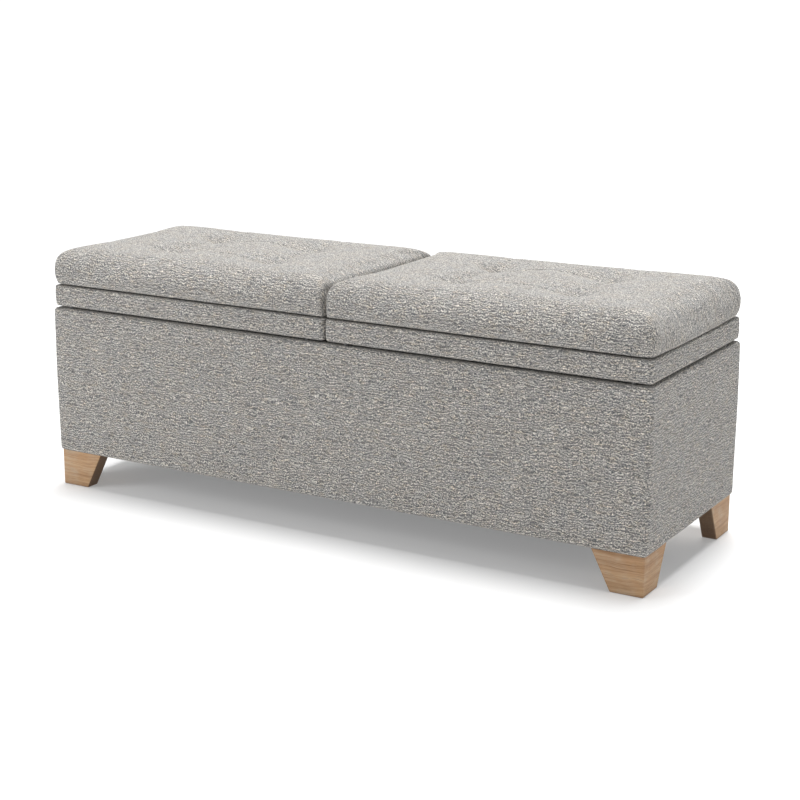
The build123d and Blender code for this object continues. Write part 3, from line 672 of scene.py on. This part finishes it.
TWEED = tweed()
LINING = plain_weave("lining_cotton", (0.105, 0.108, 0.112), (0.235, 0.235, 0.232), 0.9 * MM)
DUST_CLOTH = bonded_cloth()
WADDING = fibrefill()
FOAM = foam()
OAK = oak()
PLY = 1.5 * MM
BIRCH = ((0.50, 0.36, 0.22), (0.72, 0.58, 0.40))
PINE = ((0.56, 0.38, 0.20), (0.76, 0.60, 0.38))
ZINC = plated("zinc_plate", (0.66, 0.66, 0.64), 0.34)
NICKEL = plated("stay_nickel", (0.60, 0.59, 0.57), 0.28, 500.0)
DAMPER_PLASTIC = moulded("damper_plastic", (0.030, 0.031, 0.033), (0.045, 0.046, 0.048), 0.42)
RUBBER = moulded("bumper_rubber_grey", (0.10, 0.10, 0.10), (0.16, 0.16, 0.16), 0.6, 0.15 * MM)
TWINE_LINEN = waxed_twine()


# The CAD's own parts


def dress(names, material):
    """Give CAD nodes, whose shapes stay, a finished material."""
    for name in names:
        for place in nodes[name].material_slots:
            place.material = material


def dress_frame():
    dress([f"{row}_{side}_foot" for row in ("front", "rear") for side in SIDES], OAK)
    dress(["box_front_panel", "box_back_panel"], board_wood("birch_long_wall", 0, 1, BIRCH, PLY))
    dress(["box_left_end_panel", "box_right_end_panel", "box_divider"],
          board_wood("birch_short_wall", 1, 0, BIRCH, PLY))
    flat_ply = board_wood("birch_flat", 0, 2, BIRCH, PLY)
    dress(["box_bottom_panel", "left_lid_board", "right_lid_board"], flat_ply)
    pine = board_wood("pine_rail", 0, 2, PINE)
    dress(["bottom_cleats", "corner_blocks", "left_lid_rails", "right_lid_rails"], pine)
    dress(["foot_bolts", "foot_tee_nuts", "panel_screws", "hinge_pins", "box_hardware_screws"], ZINC)
    dress(["rim_bumpers"], RUBBER)
    leaves = [f"{place}_hinge_{leaf}_leaf" for place in ("inner", "outer") for leaf in ("box", "lid")]
    for name in SIDES:
        dress([f"{name}_{part}" for part in leaves + ["lid_screws"]], ZINC)
        dress([f"{name}_stay_housing"], DAMPER_PLASTIC)
        dress([f"{name}_stay_{part}" for part in ("arm", "link", "bracket")], NICKEL)


# Upholstery


def extents(node):
    low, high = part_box(node)
    return tuple((low[axis], high[axis]) for axis in range(3))


def upholster_box():
    """The box's cover, turned over the rim and under the bottom, and the wadding behind it."""
    x, y, z = extents("box_cover")
    path = wrapped_path(z, BOX_EDGE, BOX_EDGE, BOX_HEM, BOX_RIM, BOX_SWELL, SKIN_STEP)
    cover("box", "box", path, BOX_CORNER, SLACK, 0.0, ["box_front_panel", "box_back_panel"])
    wadding("box", "box", "box_front_panel", (x, y), BOX_EDGE, BOX_CORNER)


def cover(name, body, path, corner, slack, seed, rests_on):
    """A fabric cover wrapped round a frame along a cross-section."""
    x, y, _ = extents(f"{name}_cover")
    piece, around = sweep(f"{name}_upholstery", x, y, corner, skin(path, FABRIC), TWEED, slack, seed)
    declare(piece, body, f"{name}_cover")


def wadding(name, body, board, plan, edge, corner):
    """Wadding between a frame and its cover."""
    x, y = plan
    z = extents(f"{name}_padding")[2]
    back = -(x[1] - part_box(board)[1][0]) + WADDING_GAP
    face = -FABRIC - WADDING_GAP
    radius = edge - FABRIC
    low, high = z[0] + WADDING_GAP, z[1] - WADDING_GAP
    loop = [(back, low)] + bend((face - radius, low + radius), radius, -90, 0)
    loop += run((face, low + radius), (face, high - radius), SKIN_STEP)
    loop += bend((face - radius, high - radius), radius, 0, 90) + [(back, high)]
    loop += run((back, high), (back, low), SKIN_STEP)
    pad, _ = sweep(f"{name}_wadding", x, y, corner, soft(loop, 0.5), WADDING, SLACK)
    declare(pad, body, f"{name}_padding")


def upholster_band(name):
    """A lid's band: its fabric wrapped round the frame and its wadding."""
    x, y, z = extents(f"{name}_band_cover")
    path = wrapped_path(z, BAND_EDGE, BAND_TOP_EDGE, BAND_HEM, BAND_HEM, BAND_SWELL, SKIN_STEP / 2)
    body = f"{name}_lid"
    frame_nodes = [f"{name}_lid_board", f"{name}_lid_rails"]
    cover(f"{name}_band", body, path, BAND_CORNER, 0.6 * SLACK, 20.0 * SIDES[name], frame_nodes)
    wadding(f"{name}_band", body, f"{name}_lid_board", (x, y), BAND_PAD_EDGE, BAND_CORNER)


# Cushions


def tuft_places(name):
    """Plan positions of a cushion's four tufts, at the centres of its washers."""
    x, y, _ = extents(f"{name}_tuft_ties")
    return [(a, b) for a in (x[0] + WASHER_RADIUS, x[1] - WASHER_RADIUS)
            for b in (y[0] + WASHER_RADIUS, y[1] - WASHER_RADIUS)]


def pillow(name, x, y, z):
    """How the cushion's ruled box becomes its stuffed form: big rolls over the front, back and outer end,
    a tighter inner end, sides that draw in to the bottom seam, a crowned top and four dimples."""
    outer_high = name == "right"
    rolls = (INNER_ROLL, OUTER_ROLL[name])[::SIDES[name]]
    crisp = (INNER_CRISP, OUTER_CRISP[name])[::SIDES[name]]
    widest = z[0] + SEAM_RISE
    above = z[1] - widest
    tufts = tuft_places(name)

    def shape(points):
        px, py, pz = points.T
        dx_low = np.minimum(px - (x[0] + rolls[0]), 0.0) / rolls[0]
        dx_high = np.maximum(px - (x[1] - rolls[1]), 0.0) / rolls[1]
        ex = dx_low + dx_high
        core_x = np.clip(px, x[0] + rolls[0], x[1] - rolls[1])
        core_y = np.clip(py, y[0] + FRONT_ROLL, y[1] - FRONT_ROLL)
        ey = (py - core_y) / FRONT_ROLL
        is_upper = pz > widest
        ez = (pz - widest) / np.where(is_upper, above, SEAM_RISE)
        size_x, size_y, up = np.abs(ex), np.abs(ey), np.maximum(ez, 0.0)
        aside = np.maximum(size_x, size_y)
        inner = (ex < 0) == outer_high
        square = np.where(inner, INNER_PLAN, OUTER_PLAN)
        flat = (size_x**square + size_y**square) ** (1 / square)
        blend = size_x / np.maximum(size_x + size_y, TINY)
        power = FRONT_CRISP + (np.where(ex < 0, *crisp) - FRONT_CRISP) * blend**2
        whole = (flat**power + up**power) ** (1 / power)
        upper = np.maximum(aside, up) / np.maximum(whole, TINY)
        lower = aside / np.maximum(flat, TINY)
        drawn = np.clip(-ez, 0.0, 1.0) ** 2.2
        roll_x = np.where(ex < 0, *rolls)
        roll = np.where(size_x > size_y, roll_x, FRONT_ROLL)
        tuck = np.where((size_x > size_y) & inner, INNER_TUCK, SEAM_TUCK)
        lower = lower * (1.0 - drawn * tuck / roll)
        share = np.where(is_upper, upper, lower)
        out = np.empty_like(points)
        out[:, 0] = core_x + ex * roll_x * share
        out[:, 1] = core_y + ey * FRONT_ROLL * share
        lift = SEAM_LIFT * aside * np.clip(1 - (pz - z[0]) / (10 * MM), 0, 1)
        out[:, 2] = np.where(is_upper, widest + ez * above * upper, pz + lift)
        along, deep = (
            np.clip(np.abs(out[:, axis] - (low + high) / 2) / ((high - low) / 2), 0, 1)
            for axis, (low, high) in enumerate((x, y))
        )
        topness = np.clip((out[:, 2] - widest) / above, 0, 1) ** 2
        out[:, 2] += CROWN * (1 - along**3) * (1 - deep**2.6) * topness
        if outer_high:
            out[:, 2] += OUTER_RISE * np.clip((out[:, 0] - x[0]) / (x[1] - x[0]), 0, 1) * topness
        for tx, ty in tufts:
            ox, oy = out[:, 0] - tx, out[:, 1] - ty
            far = np.hypot(ox, oy)
            dip = DIMPLE * np.exp(-((far / DIMPLE_REACH) ** 1.5))
            dip += BOWL * np.exp(-((far / BOWL_REACH) ** 1.45))
            for on, off in ((ox, oy), (oy, ox)):
                dip += PULL * np.exp(-((off / PULL_WIDTH) ** 2)) * np.exp(-np.abs(on) / PULL_REACH)
            out[:, 2] -= dip * topness
        return out

    return shape


def cushion_mesh(name):
    x, y, z = extents(f"{name}_cushion_cover")
    low_room, high_room = (INNER_ROOM, SWELL_ROOM)[::SIDES[name]]
    x = (x[0] + low_room, x[1] - high_room)
    y = (y[0] + SWELL_ROOM, y[1] - SWELL_ROOM)
    z = (z[0] + INNER_ROOM, z[1] - CROWN_ROOM)
    tufts = tuft_places(name)
    near = (-9 * MM, -5.5 * MM, -2.5 * MM, 0.0, 2.5 * MM, 5.5 * MM, 9 * MM)
    seams = [x[0] + share * (x[1] - x[0]) for share in PIECING_SEAMS] if name == "right" else []
    xs = ruled_lines(x[0], x[1], CELL, sorted({t[0] for t in tufts}), near)
    if seams:
        plain = [v for v in xs if all(abs(v - s) > 3 * MM for s in seams)]
        xs = np.array(sorted(plain + [s + o for s in seams for o in (-1.6 * MM, 0.0, 1.6 * MM)]))
    ys = ruled_lines(y[0], y[1], CELL, sorted({t[1] for t in tufts}), near)
    zs = np.concatenate([[z[0], z[0] + 1.5 * MM, z[0] + 4 * MM, z[0] + 8 * MM],
                         np.linspace(z[0] + 13 * MM, z[1], 9)])
    return box_grid((xs, ys, zs), pillow(name, x, y, z)) + (seams, (x, y, z))


def inflate(pieces, pins):
    """Swell the cushions with Cloth under pressure, held at their seams and tufts, by at most a cap."""
    scene = bpy.context.scene
    start = {}
    for piece, weights in zip(pieces, pins):
        group = piece.vertex_groups.new(name="held")
        for n in np.flatnonzero(weights):
            group.add([int(n)], float(weights[n]), "REPLACE")
        cloth = piece.modifiers.new("Cloth", "CLOTH")
        settings = cloth.settings
        settings.quality = 5
        settings.use_pressure = True
        settings.uniform_pressure_force = PRESSURE
        settings.effector_weights.gravity = 0.0
        settings.vertex_group_mass = "held"
        settings.tension_stiffness = STRETCH_STIFFNESS
        settings.compression_stiffness = STRETCH_STIFFNESS
        settings.bending_stiffness = BEND_STIFFNESS
        cloth.point_cache.frame_end = SIM_FRAMES
        start[piece.name] = points_of(piece)
    for number in range(1, SIM_FRAMES + 1):
        scene.frame_set(number)
    graph = bpy.context.evaluated_depsgraph_get()
    moved = {piece.name: points_of(piece.evaluated_get(graph)) for piece in pieces}
    scene.frame_set(1)
    for piece in pieces:
        piece.modifiers.clear()
        shift = moved[piece.name] - start[piece.name]
        far = np.linalg.norm(shift, axis=1)
        share = SWELL_CAP * np.tanh(far / SWELL_CAP) / np.maximum(far, TINY)
        piece.vertex_groups.clear()
        move_points(piece, start[piece.name] + shift * share[:, None])


def finish_cushion(name, piece, ruled, seams, box):
    """Puckers along the bottom seam, and piecing seams on the front."""
    x, y, z = box
    points = points_of(piece)
    seed = 5.0 if name == "right" else 31.0
    moves = np.zeros(len(points))
    on_side = np.any([(ruled[:, axis] < low + MM) | (ruled[:, axis] > high - MM)
                      for axis, (low, high) in enumerate((x, y))], axis=0)
    on_side &= ruled[:, 2] > z[0] + 0.5 * MM
    for n, (point, side) in enumerate(zip(points, on_side)):
        moves[n] += 0.5 * MM * noise.noise(Vector(point) * 16.0 + Vector((seed, 0, 0)))
        if side:
            fade = math.exp(-(point[2] - z[0]) / (12 * MM))
            moves[n] += PUCKER * ripple(point[0] * 60, point[1] * 60, seed) * fade
    for seam in seams:
        front = ruled[:, 1] < y[0] + MM
        groove = PIECING_DEPTH * np.exp(-(((ruled[:, 0] - seam) / PIECING_WIDTH) ** 2))
        moves -= np.where(front, groove, 0.0)
    moves[ruled[:, 2] < z[0] + 0.5 * MM] = 0.0
    move_points(piece, points + points_of(piece, "normal") * moves[:, None])


def subdivide(piece):
    modifier = piece.modifiers.new("Smooth", "SUBSURF")
    modifier.levels = 1
    modifier.render_levels = 1
    graph = bpy.context.evaluated_depsgraph_get()
    mesh = bpy.data.meshes.new_from_object(piece.evaluated_get(graph))
    piece.modifiers.clear()
    piece.data = mesh


def make_cushions():
    made, pins, extra, floors = [], [], [], {}
    for name in SIDES:
        vertices, faces, uvs, ruled, _, seams, box = cushion_mesh(name)
        piece = make_piece(f"{name}_cushion", vertices, faces, uvs, TWEED)
        held = (ruled[:, 2] < box[2][0] + 0.5 * MM).astype(float)
        for tx, ty in tuft_places(name):
            far = np.hypot(vertices[:, 0] - tx, vertices[:, 1] - ty)
            held = np.maximum(held, np.where((ruled[:, 2] > box[2][1] - MM) & (far < 6.5 * MM), 1.0, 0.0))
        made.append(piece)
        pins.append(held)
        extra.append((ruled, seams, box))
    inflate(made, pins)
    for name, piece, (ruled, seams, box) in zip(SIDES, made, extra):
        finish_cushion(name, piece, ruled, seams, box)
        filling = make_filling(name, piece)
        subdivide(piece)
        for part, node, slot in ((piece, "cover", "upholstery_fabric"), (filling, "foam", "foam")):
            declare(part, f"{name}_lid", f"{name}_cushion_{node}")
        floors[name] = tuft_floors(name, piece)
    return floors


def tuft_floors(name, piece):
    """Heights of the cushion at the bottoms of its tufts."""
    points = points_of(piece)
    points = points[points[:, 2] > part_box(f"{name}_lid_board")[1][2] + 10 * MM]
    return [points[np.hypot(points[:, 0] - x, points[:, 1] - y) < 3 * MM, 2].min()
            for x, y in tuft_places(name)]


def make_filling(name, cover):
    """The foam block, a fabric's thickness inside its cover."""
    filling = link(f"{name}_cushion_filling", cover.data.copy())
    filling.data.materials.clear()
    filling.data.materials.append(FOAM)
    move_points(filling, points_of(cover) - points_of(cover, "normal") * (FABRIC + 0.3 * MM))
    return filling


def make_ties(name, floors):
    """Tufting twine: a stitch across each dimple whose ends go down through the board to a washer."""
    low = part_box(f"{name}_tuft_ties")[0]
    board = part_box(f"{name}_lid_board")[0][2]
    places = tuft_places(name)
    paths = []
    for (x, y), floor in zip(places, floors):
        top = floor + 1.7 * MM
        route = [(0.9, low[2] - 0.2 * MM), (0.9, board + 6 * MM), (1.1, board + 20 * MM)]
        route += [(aside, top - down * MM) for aside, down in STITCH]
        paths += [[(x + lean * aside * MM, y, height) for aside, height in route] for lean in (-1, 1)]
    twine = tubes(f"{name}_tuft_twine", paths, TWINE, TWINE_LINEN)
    declare(twine, f"{name}_lid", f"{name}_tuft_ties")
    rounds = ring_plates(f"{name}_tuft_washers", places, (low[2], board - 0.05 * MM), ZINC)
    declare(rounds, f"{name}_lid")


def ring_plates(name, places, z, material):
    """Washers with rounded rims."""
    hole = 2.2 * MM
    rim = 0.4 * MM
    steps = 40
    widths = (hole, hole + rim, WASHER_RADIUS - rim, WASHER_RADIUS)
    loop = list(zip(widths, (z[0] + rim, z[0], z[0], z[0] + rim)))
    loop += list(zip(widths[::-1], (z[1] - rim, z[1], z[1], z[1] - rim)))
    vertices, faces, uvs = [], [], []
    for px, py in places:
        more = grid([0.0] * (steps + 1), [0.0] * (len(loop) + 1), closed=True, start=len(vertices))
        faces += more[0]
        uvs += more[1]
        for s in range(steps):
            angle = math.tau * s / steps
            vertices += [(px + r * math.cos(angle), py + r * math.sin(angle), h) for r, h in loop]
    return clean(make_piece(name, vertices, faces, uvs, material))


# Linings


def tray_shape(x, y, z, corner, edge):
    """A lining's form: an open box with rounded upright corners and a rounded edge round its floor."""

    def shape(points):
        px, py, pz = points.T
        core_x = np.clip(px, x[0] + corner, x[1] - corner)
        core_y = np.clip(py, y[0] + corner, y[1] - corner)
        ex, ey = (px - core_x) / corner, (py - core_y) / corner
        ez = np.minimum(pz - (z[0] + edge), 0.0) / edge
        whole = np.sqrt(ex**2 + ey**2 + ez**2)
        biggest = np.maximum(np.maximum(np.abs(ex), np.abs(ey)), np.abs(ez))
        share = biggest / np.maximum(whole, TINY)
        return np.stack([
            core_x + ex * corner * share,
            core_y + ey * corner * share,
            np.where(ez < 0, z[0] + edge + ez * edge * share, pz),
        ], 1)

    return shape


def line_compartment(name):
    """One compartment's lining, closed as a thin skin with a folded top edge."""
    x, y, z = extents(f"{name}_compartment_lining")
    gap = 0.1 * MM
    thickness = 1 * MM
    top = z[1] - 1.2 * MM  # just under the divider's cap and the rim
    x = (x[0] + gap, x[1] - gap)
    y = (y[0] + gap, y[1] - gap)
    skins = []
    for inset, rise in ((0.0, gap), (thickness, thickness)):
        radius, edge = 4 * MM - inset, 5 * MM - inset
        plan = [(low + inset, high - inset) for low, high in (x, y)]
        height = (z[0] + rise, top)
        lines = (np.linspace(*plan[0], 62), np.linspace(*plan[1], 40), np.linspace(*height, 28))
        for (low, high), line in zip(plan, lines):
            line[1:3] = low + radius * 0.5, low + radius
            line[-3:-1] = high - radius, high - radius * 0.5
        lines[2][1:3] = height[0] + edge * 0.5, height[0] + edge
        skins.append(box_grid(lines, tray_shape(*plan, height, radius, edge), open_top=True))
    vertices, faces, uvs, _, index = skins[0]
    inner_points, inner_faces, inner_uvs = skins[1][:3]
    count = len(vertices)
    last_i, last_j, rim_level = (max(place) for place in zip(*index))
    for (i, j, k), n in index.items():
        wave = noise.noise(Vector(inner_points[n]) * 14 + Vector((SIDES[name] * 9, 0, 0)))
        pull = 0.45 * MM * (0.5 + 0.5 * wave)
        if k == 0:
            inner_points[n][2] += pull
        elif k < rim_level:
            inner_points[n][:2] += pull * ((i == 0) - (i == last_i)), pull * ((j == 0) - (j == last_j))
    faces = [face[::-1] for face in faces] + [[count + v for v in face] for face in inner_faces]
    uvs = [uvs[n + c] for n in range(0, len(uvs), 4) for c in (3, 2, 1, 0)] + inner_uvs
    # the top row is closed to the outer skin
    rim = [(i, 0) for i in range(last_i)] + [(last_i, j) for j in range(last_j)]
    rim += [(i, last_j) for i in range(last_i, 0, -1)] + [(0, j) for j in range(last_j, 0, -1)]
    for start, end in zip(rim, rim[1:] + rim[:1]):
        a, b = index[(*start, rim_level)], index[(*end, rim_level)]
        faces.append([a, b, count + b, count + a])
        uvs += [(0.0, 0.0), (0.01, 0.0), (0.01, thickness), (0.0, thickness)]
    points = np.vstack([vertices, inner_points])
    piece = clean(make_piece(f"{name}_compartment_fabric", points, faces, uvs, LINING))
    declare(piece, "box", f"{name}_compartment_lining")
    width, depth, height = x[1] - x[0], y[1] - y[0], top - z[0]


def cap_divider():
    """Lining strip folded over the divider's top and down both its sides."""
    x, y, z = extents("divider_cap")
    thickness = 0.9 * MM
    fold = 1.2 * MM
    leg = 14 * MM
    half = x[1] + thickness
    top = z[1]
    outer = [(half, top - leg * share) for share in (1.0, 0.65, 0.3)]
    outer += bend((half - fold, top - fold), fold, 0, 90, 3)
    outer += [(half * t, top) for t in (0.5, 0.0)]
    outer += [(-px, pz) for px, pz in outer[-2::-1]]
    section = outer + [tuple(p) for p in inside(np.array(outer), thickness)[1][::-1]]
    across = lengths(section + section[:1])
    ys = np.linspace(y[0] + 0.6 * MM, y[1] - 0.6 * MM, 36)
    vertices = []
    for place in ys:
        for n, (px, pz) in enumerate(section):
            wave = 0.15 * MM * ripple(n * 0.3, place * 30, 4)
            vertices.append((px + wave, place, pz - abs(wave)))
    faces, uvs = grid(ys, across)
    size = len(section)
    for first in (0, (len(ys) - 1) * size):
        for c in range(len(outer) - 1):
            faces.append([first + n for n in (c, c + 1, size - 2 - c, size - 1 - c)])
            uvs += [(0.0, across[c]), (0.0, across[c + 1])]
            uvs += [(thickness, across[c + 1]), (thickness, across[c])]
    piece = clean(make_piece("divider_strip", vertices, faces, uvs, LINING))
    declare(piece, "box", "divider_cap")


def flat_cloth(name, xs, ys, keep, low, thickness, material):
    """A flat piece of cloth ruled by lines along X and Y, closed, with its cells chosen by keep. low gives
    the height of its underside."""
    index = {}
    vertices = []
    faces = []
    uvs = []

    def vertex(i, j, level):
        if (i, j, level) not in index:
            index[i, j, level] = len(vertices)
            vertices.append((xs[i], ys[j], low(xs[i], ys[j]) + level * thickness))
        return index[i, j, level]

    def add(corners):
        faces.append([vertex(*c) for c in corners])
        uvs.extend((xs[i] + level * 0.002, ys[j]) for i, j, level in corners)

    cells = {(i, j) for i in range(len(xs) - 1) for j in range(len(ys) - 1) if keep(i, j)}
    for i, j in sorted(cells):
        add([(i, j, 0), (i, j + 1, 0), (i + 1, j + 1, 0), (i + 1, j, 0)])
        add([(i, j, 1), (i + 1, j, 1), (i + 1, j + 1, 1), (i, j + 1, 1)])
        edges = {(0, -1): ((i, j), (i + 1, j)), (1, 0): ((i + 1, j), (i + 1, j + 1)),
                 (0, 1): ((i + 1, j + 1), (i, j + 1)), (-1, 0): ((i, j + 1), (i, j))}
        for (di, dj), (a, b) in edges.items():
            if (i + di, j + dj) not in cells:
                add([(*a, 0), (*b, 0), (*b, 1), (*a, 1)])
    return clean(make_piece(name, vertices, faces, uvs, material))


def staple_paths(places, z, along_x, leg):
    """Staples pressed up into the wood: short wire crowns just under a surface."""
    half = 5 * MM
    wire = [(-half, leg), (-half, 0.35 * MM), (-half * 0.86, 0.0)]
    wire += [(-e, h) for e, h in wire[::-1]]
    return [[(px + e, py, z + h) if along_x else (px, py + e, z + h) for e, h in wire] for px, py in places]


def close_underside():
    """Black dust cloth under the box, cut round the feet, and its staples."""
    x, y, z = extents("dust_cover")
    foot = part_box("front_right_foot")
    clear = 3 * MM
    cut_x, cut_y = foot[0][0] - clear, -(foot[1][1] + clear)
    xs, ys = (
        np.unique(np.concatenate([
            np.linspace(low, -cut, 6), np.linspace(-cut, cut, count), np.linspace(cut, high, 6),
        ])) for (low, high), cut, count in ((x, cut_x, 60), (y, cut_y, 16))
    )

    def keep(i, j):
        middle = (abs(xs[i] + xs[i + 1]) / 2, abs(ys[j] + ys[j + 1]) / 2)
        return not (middle[0] > cut_x and middle[1] > cut_y)

    def low(px, py):
        inside = 1.0
        for reach, place in ((y[1], py), (x[1], px)):
            inside *= min(1.0, max(0.0, (reach - abs(place)) / SAG_REACH))
        return z[0] - 0.9 * MM * inside * (0.6 + 0.4 * ripple(px * 12, py * 12, 2))

    cloth = flat_cloth("underside_cloth", xs, ys, keep, low, 0.5 * MM, DUST_CLOTH)
    declare(cloth, "box", "dust_cover")
    inset = 8 * MM
    end = 30 * MM
    along = np.linspace(-cut_x + end, cut_x - end, 15)
    deep = np.linspace(-cut_y + end, cut_y - end, 4)
    long_places = [(px, side * (y[1] - inset)) for side in (-1, 1) for px in along]
    short_places = [(side * (x[1] - inset), py) for side in (-1, 1) for py in deep]
    paths = staple_paths(long_places, z[0] - 0.3 * MM, True, 3 * MM)
    paths += staple_paths(short_places, z[0] - 0.3 * MM, False, 3 * MM)
    staples = tubes("underside_staples", paths, 0.4 * MM, ZINC, 6)
    declare(staples, "box")


def line_lid(name):
    """Lining under a lid, with a turned edge."""
    x, y, z = extents(f"{name}_lid_lining")
    xs = ruled_lines(x[0], x[1], 14 * MM, x, (-7 * MM, -3 * MM, 3 * MM, 7 * MM))
    ys = ruled_lines(y[0], y[1], 14 * MM, y, (-7 * MM, -3 * MM, 3 * MM, 7 * MM))

    def low(px, py):
        edge = min(px - x[0], x[1] - px, py - y[0], y[1] - py)
        turned = 0.25 * MM if edge < 7.5 * MM else 0.0
        rounded = 0.35 * MM if edge < 0.5 * MM else 0.0
        return z[0] + 0.15 * MM - turned + rounded + 0.2 * MM * ripple(px * 13, py * 13, 6)

    cloth = flat_cloth(f"{name}_lid_fabric", xs, ys, lambda i, j: True, low, 0.7 * MM, LINING)
    declare(cloth, f"{name}_lid", f"{name}_lid_lining")


# Floor, light, camera


def studio():
    """Pale floor, soft light from above and from the front left, and the camera."""
    g = Graph("studio_floor", Specular_IOR_Level=0.1)
    speck = g.noise(g.place("object"), 3.0, 2.0)
    g.feed(g.shader.inputs["Emission Color"], (1.0, 1.0, 1.0, 1.0))
    g.feed(g.shader.inputs["Emission Strength"], FLOOR_GLOW)
    colour = g.ramp(speck, [(0.3, (0.60, 0.60, 0.60)), (0.7, (0.62, 0.62, 0.62))])
    g.finish(colour, 0.9, speck, 0.1 * MM, 0.05)
    half = FLOOR_SIZE / 2
    mesh = bpy.data.meshes.new("studio_floor")
    corners = [(x * half, y * half, 0) for x, y in ((-1, -1), (1, -1), (1, 1), (-1, 1))]
    mesh.from_pydata(corners, [], [(0, 1, 2, 3)])
    mesh.materials.append(g.material)
    link("studio_floor", mesh)

    world = bpy.data.worlds.new("studio")
    world.use_nodes = True
    background = world.node_tree.nodes["Background"]
    background.inputs["Color"].default_value = (1.0, 1.0, 1.0, 1.0)
    background.inputs["Strength"].default_value = WORLD_LIGHT
    bpy.context.scene.world = world

    add_light("overhead", "SUN", (-0.1, 0.3, 2.6), SUN, angle=math.radians(24))
    for name, place, strength in (("front_left", (-2.0, -2.2, 1.5), FRONT_LIGHT),
                                  ("right", (3.0, -0.6, 1.3), SIDE_LIGHT),
                                  ("behind", (-0.2, 2.3, 1.5), BACK_LIGHT)):
        add_light(name, "AREA", place, strength, size=1.4)

    lens = bpy.data.cameras.new("camera")
    lens.lens = LENS
    lens.sensor_width = 36.0
    camera = link("camera", lens)
    camera.matrix_world = Matrix.Translation(CAMERA_PLACE)
    for angle, axis in ((CAMERA_TURN, "Z"), (90 - CAMERA_DOWN, "X"), (CAMERA_ROLL, "Z")):
        camera.matrix_world = camera.matrix_world @ Matrix.Rotation(math.radians(angle), 4, axis)
    bpy.context.scene.camera = camera
    bpy.context.scene.view_settings.view_transform = "Standard"


def add_light(name, kind, place, strength, **settings):
    """A light that looks at the middle of the bench."""
    light = bpy.data.lights.new(name, kind)
    light.energy = strength
    for key, value in settings.items():
        setattr(light, key, value)
    facing = (Vector((0.0, 0.0, 0.25)) - Vector(place)).to_track_quat("-Z", "Y")
    link(name, light).matrix_world = Matrix.Translation(place) @ facing.to_matrix().to_4x4()


studio()
dress_frame()
upholster_box()
cap_divider()
close_underside()
tuft_depths = make_cushions()
for side_name in SIDES:
    upholster_band(side_name)
    make_ties(side_name, tuft_depths[side_name])
    line_compartment(side_name)
    line_lid(side_name)
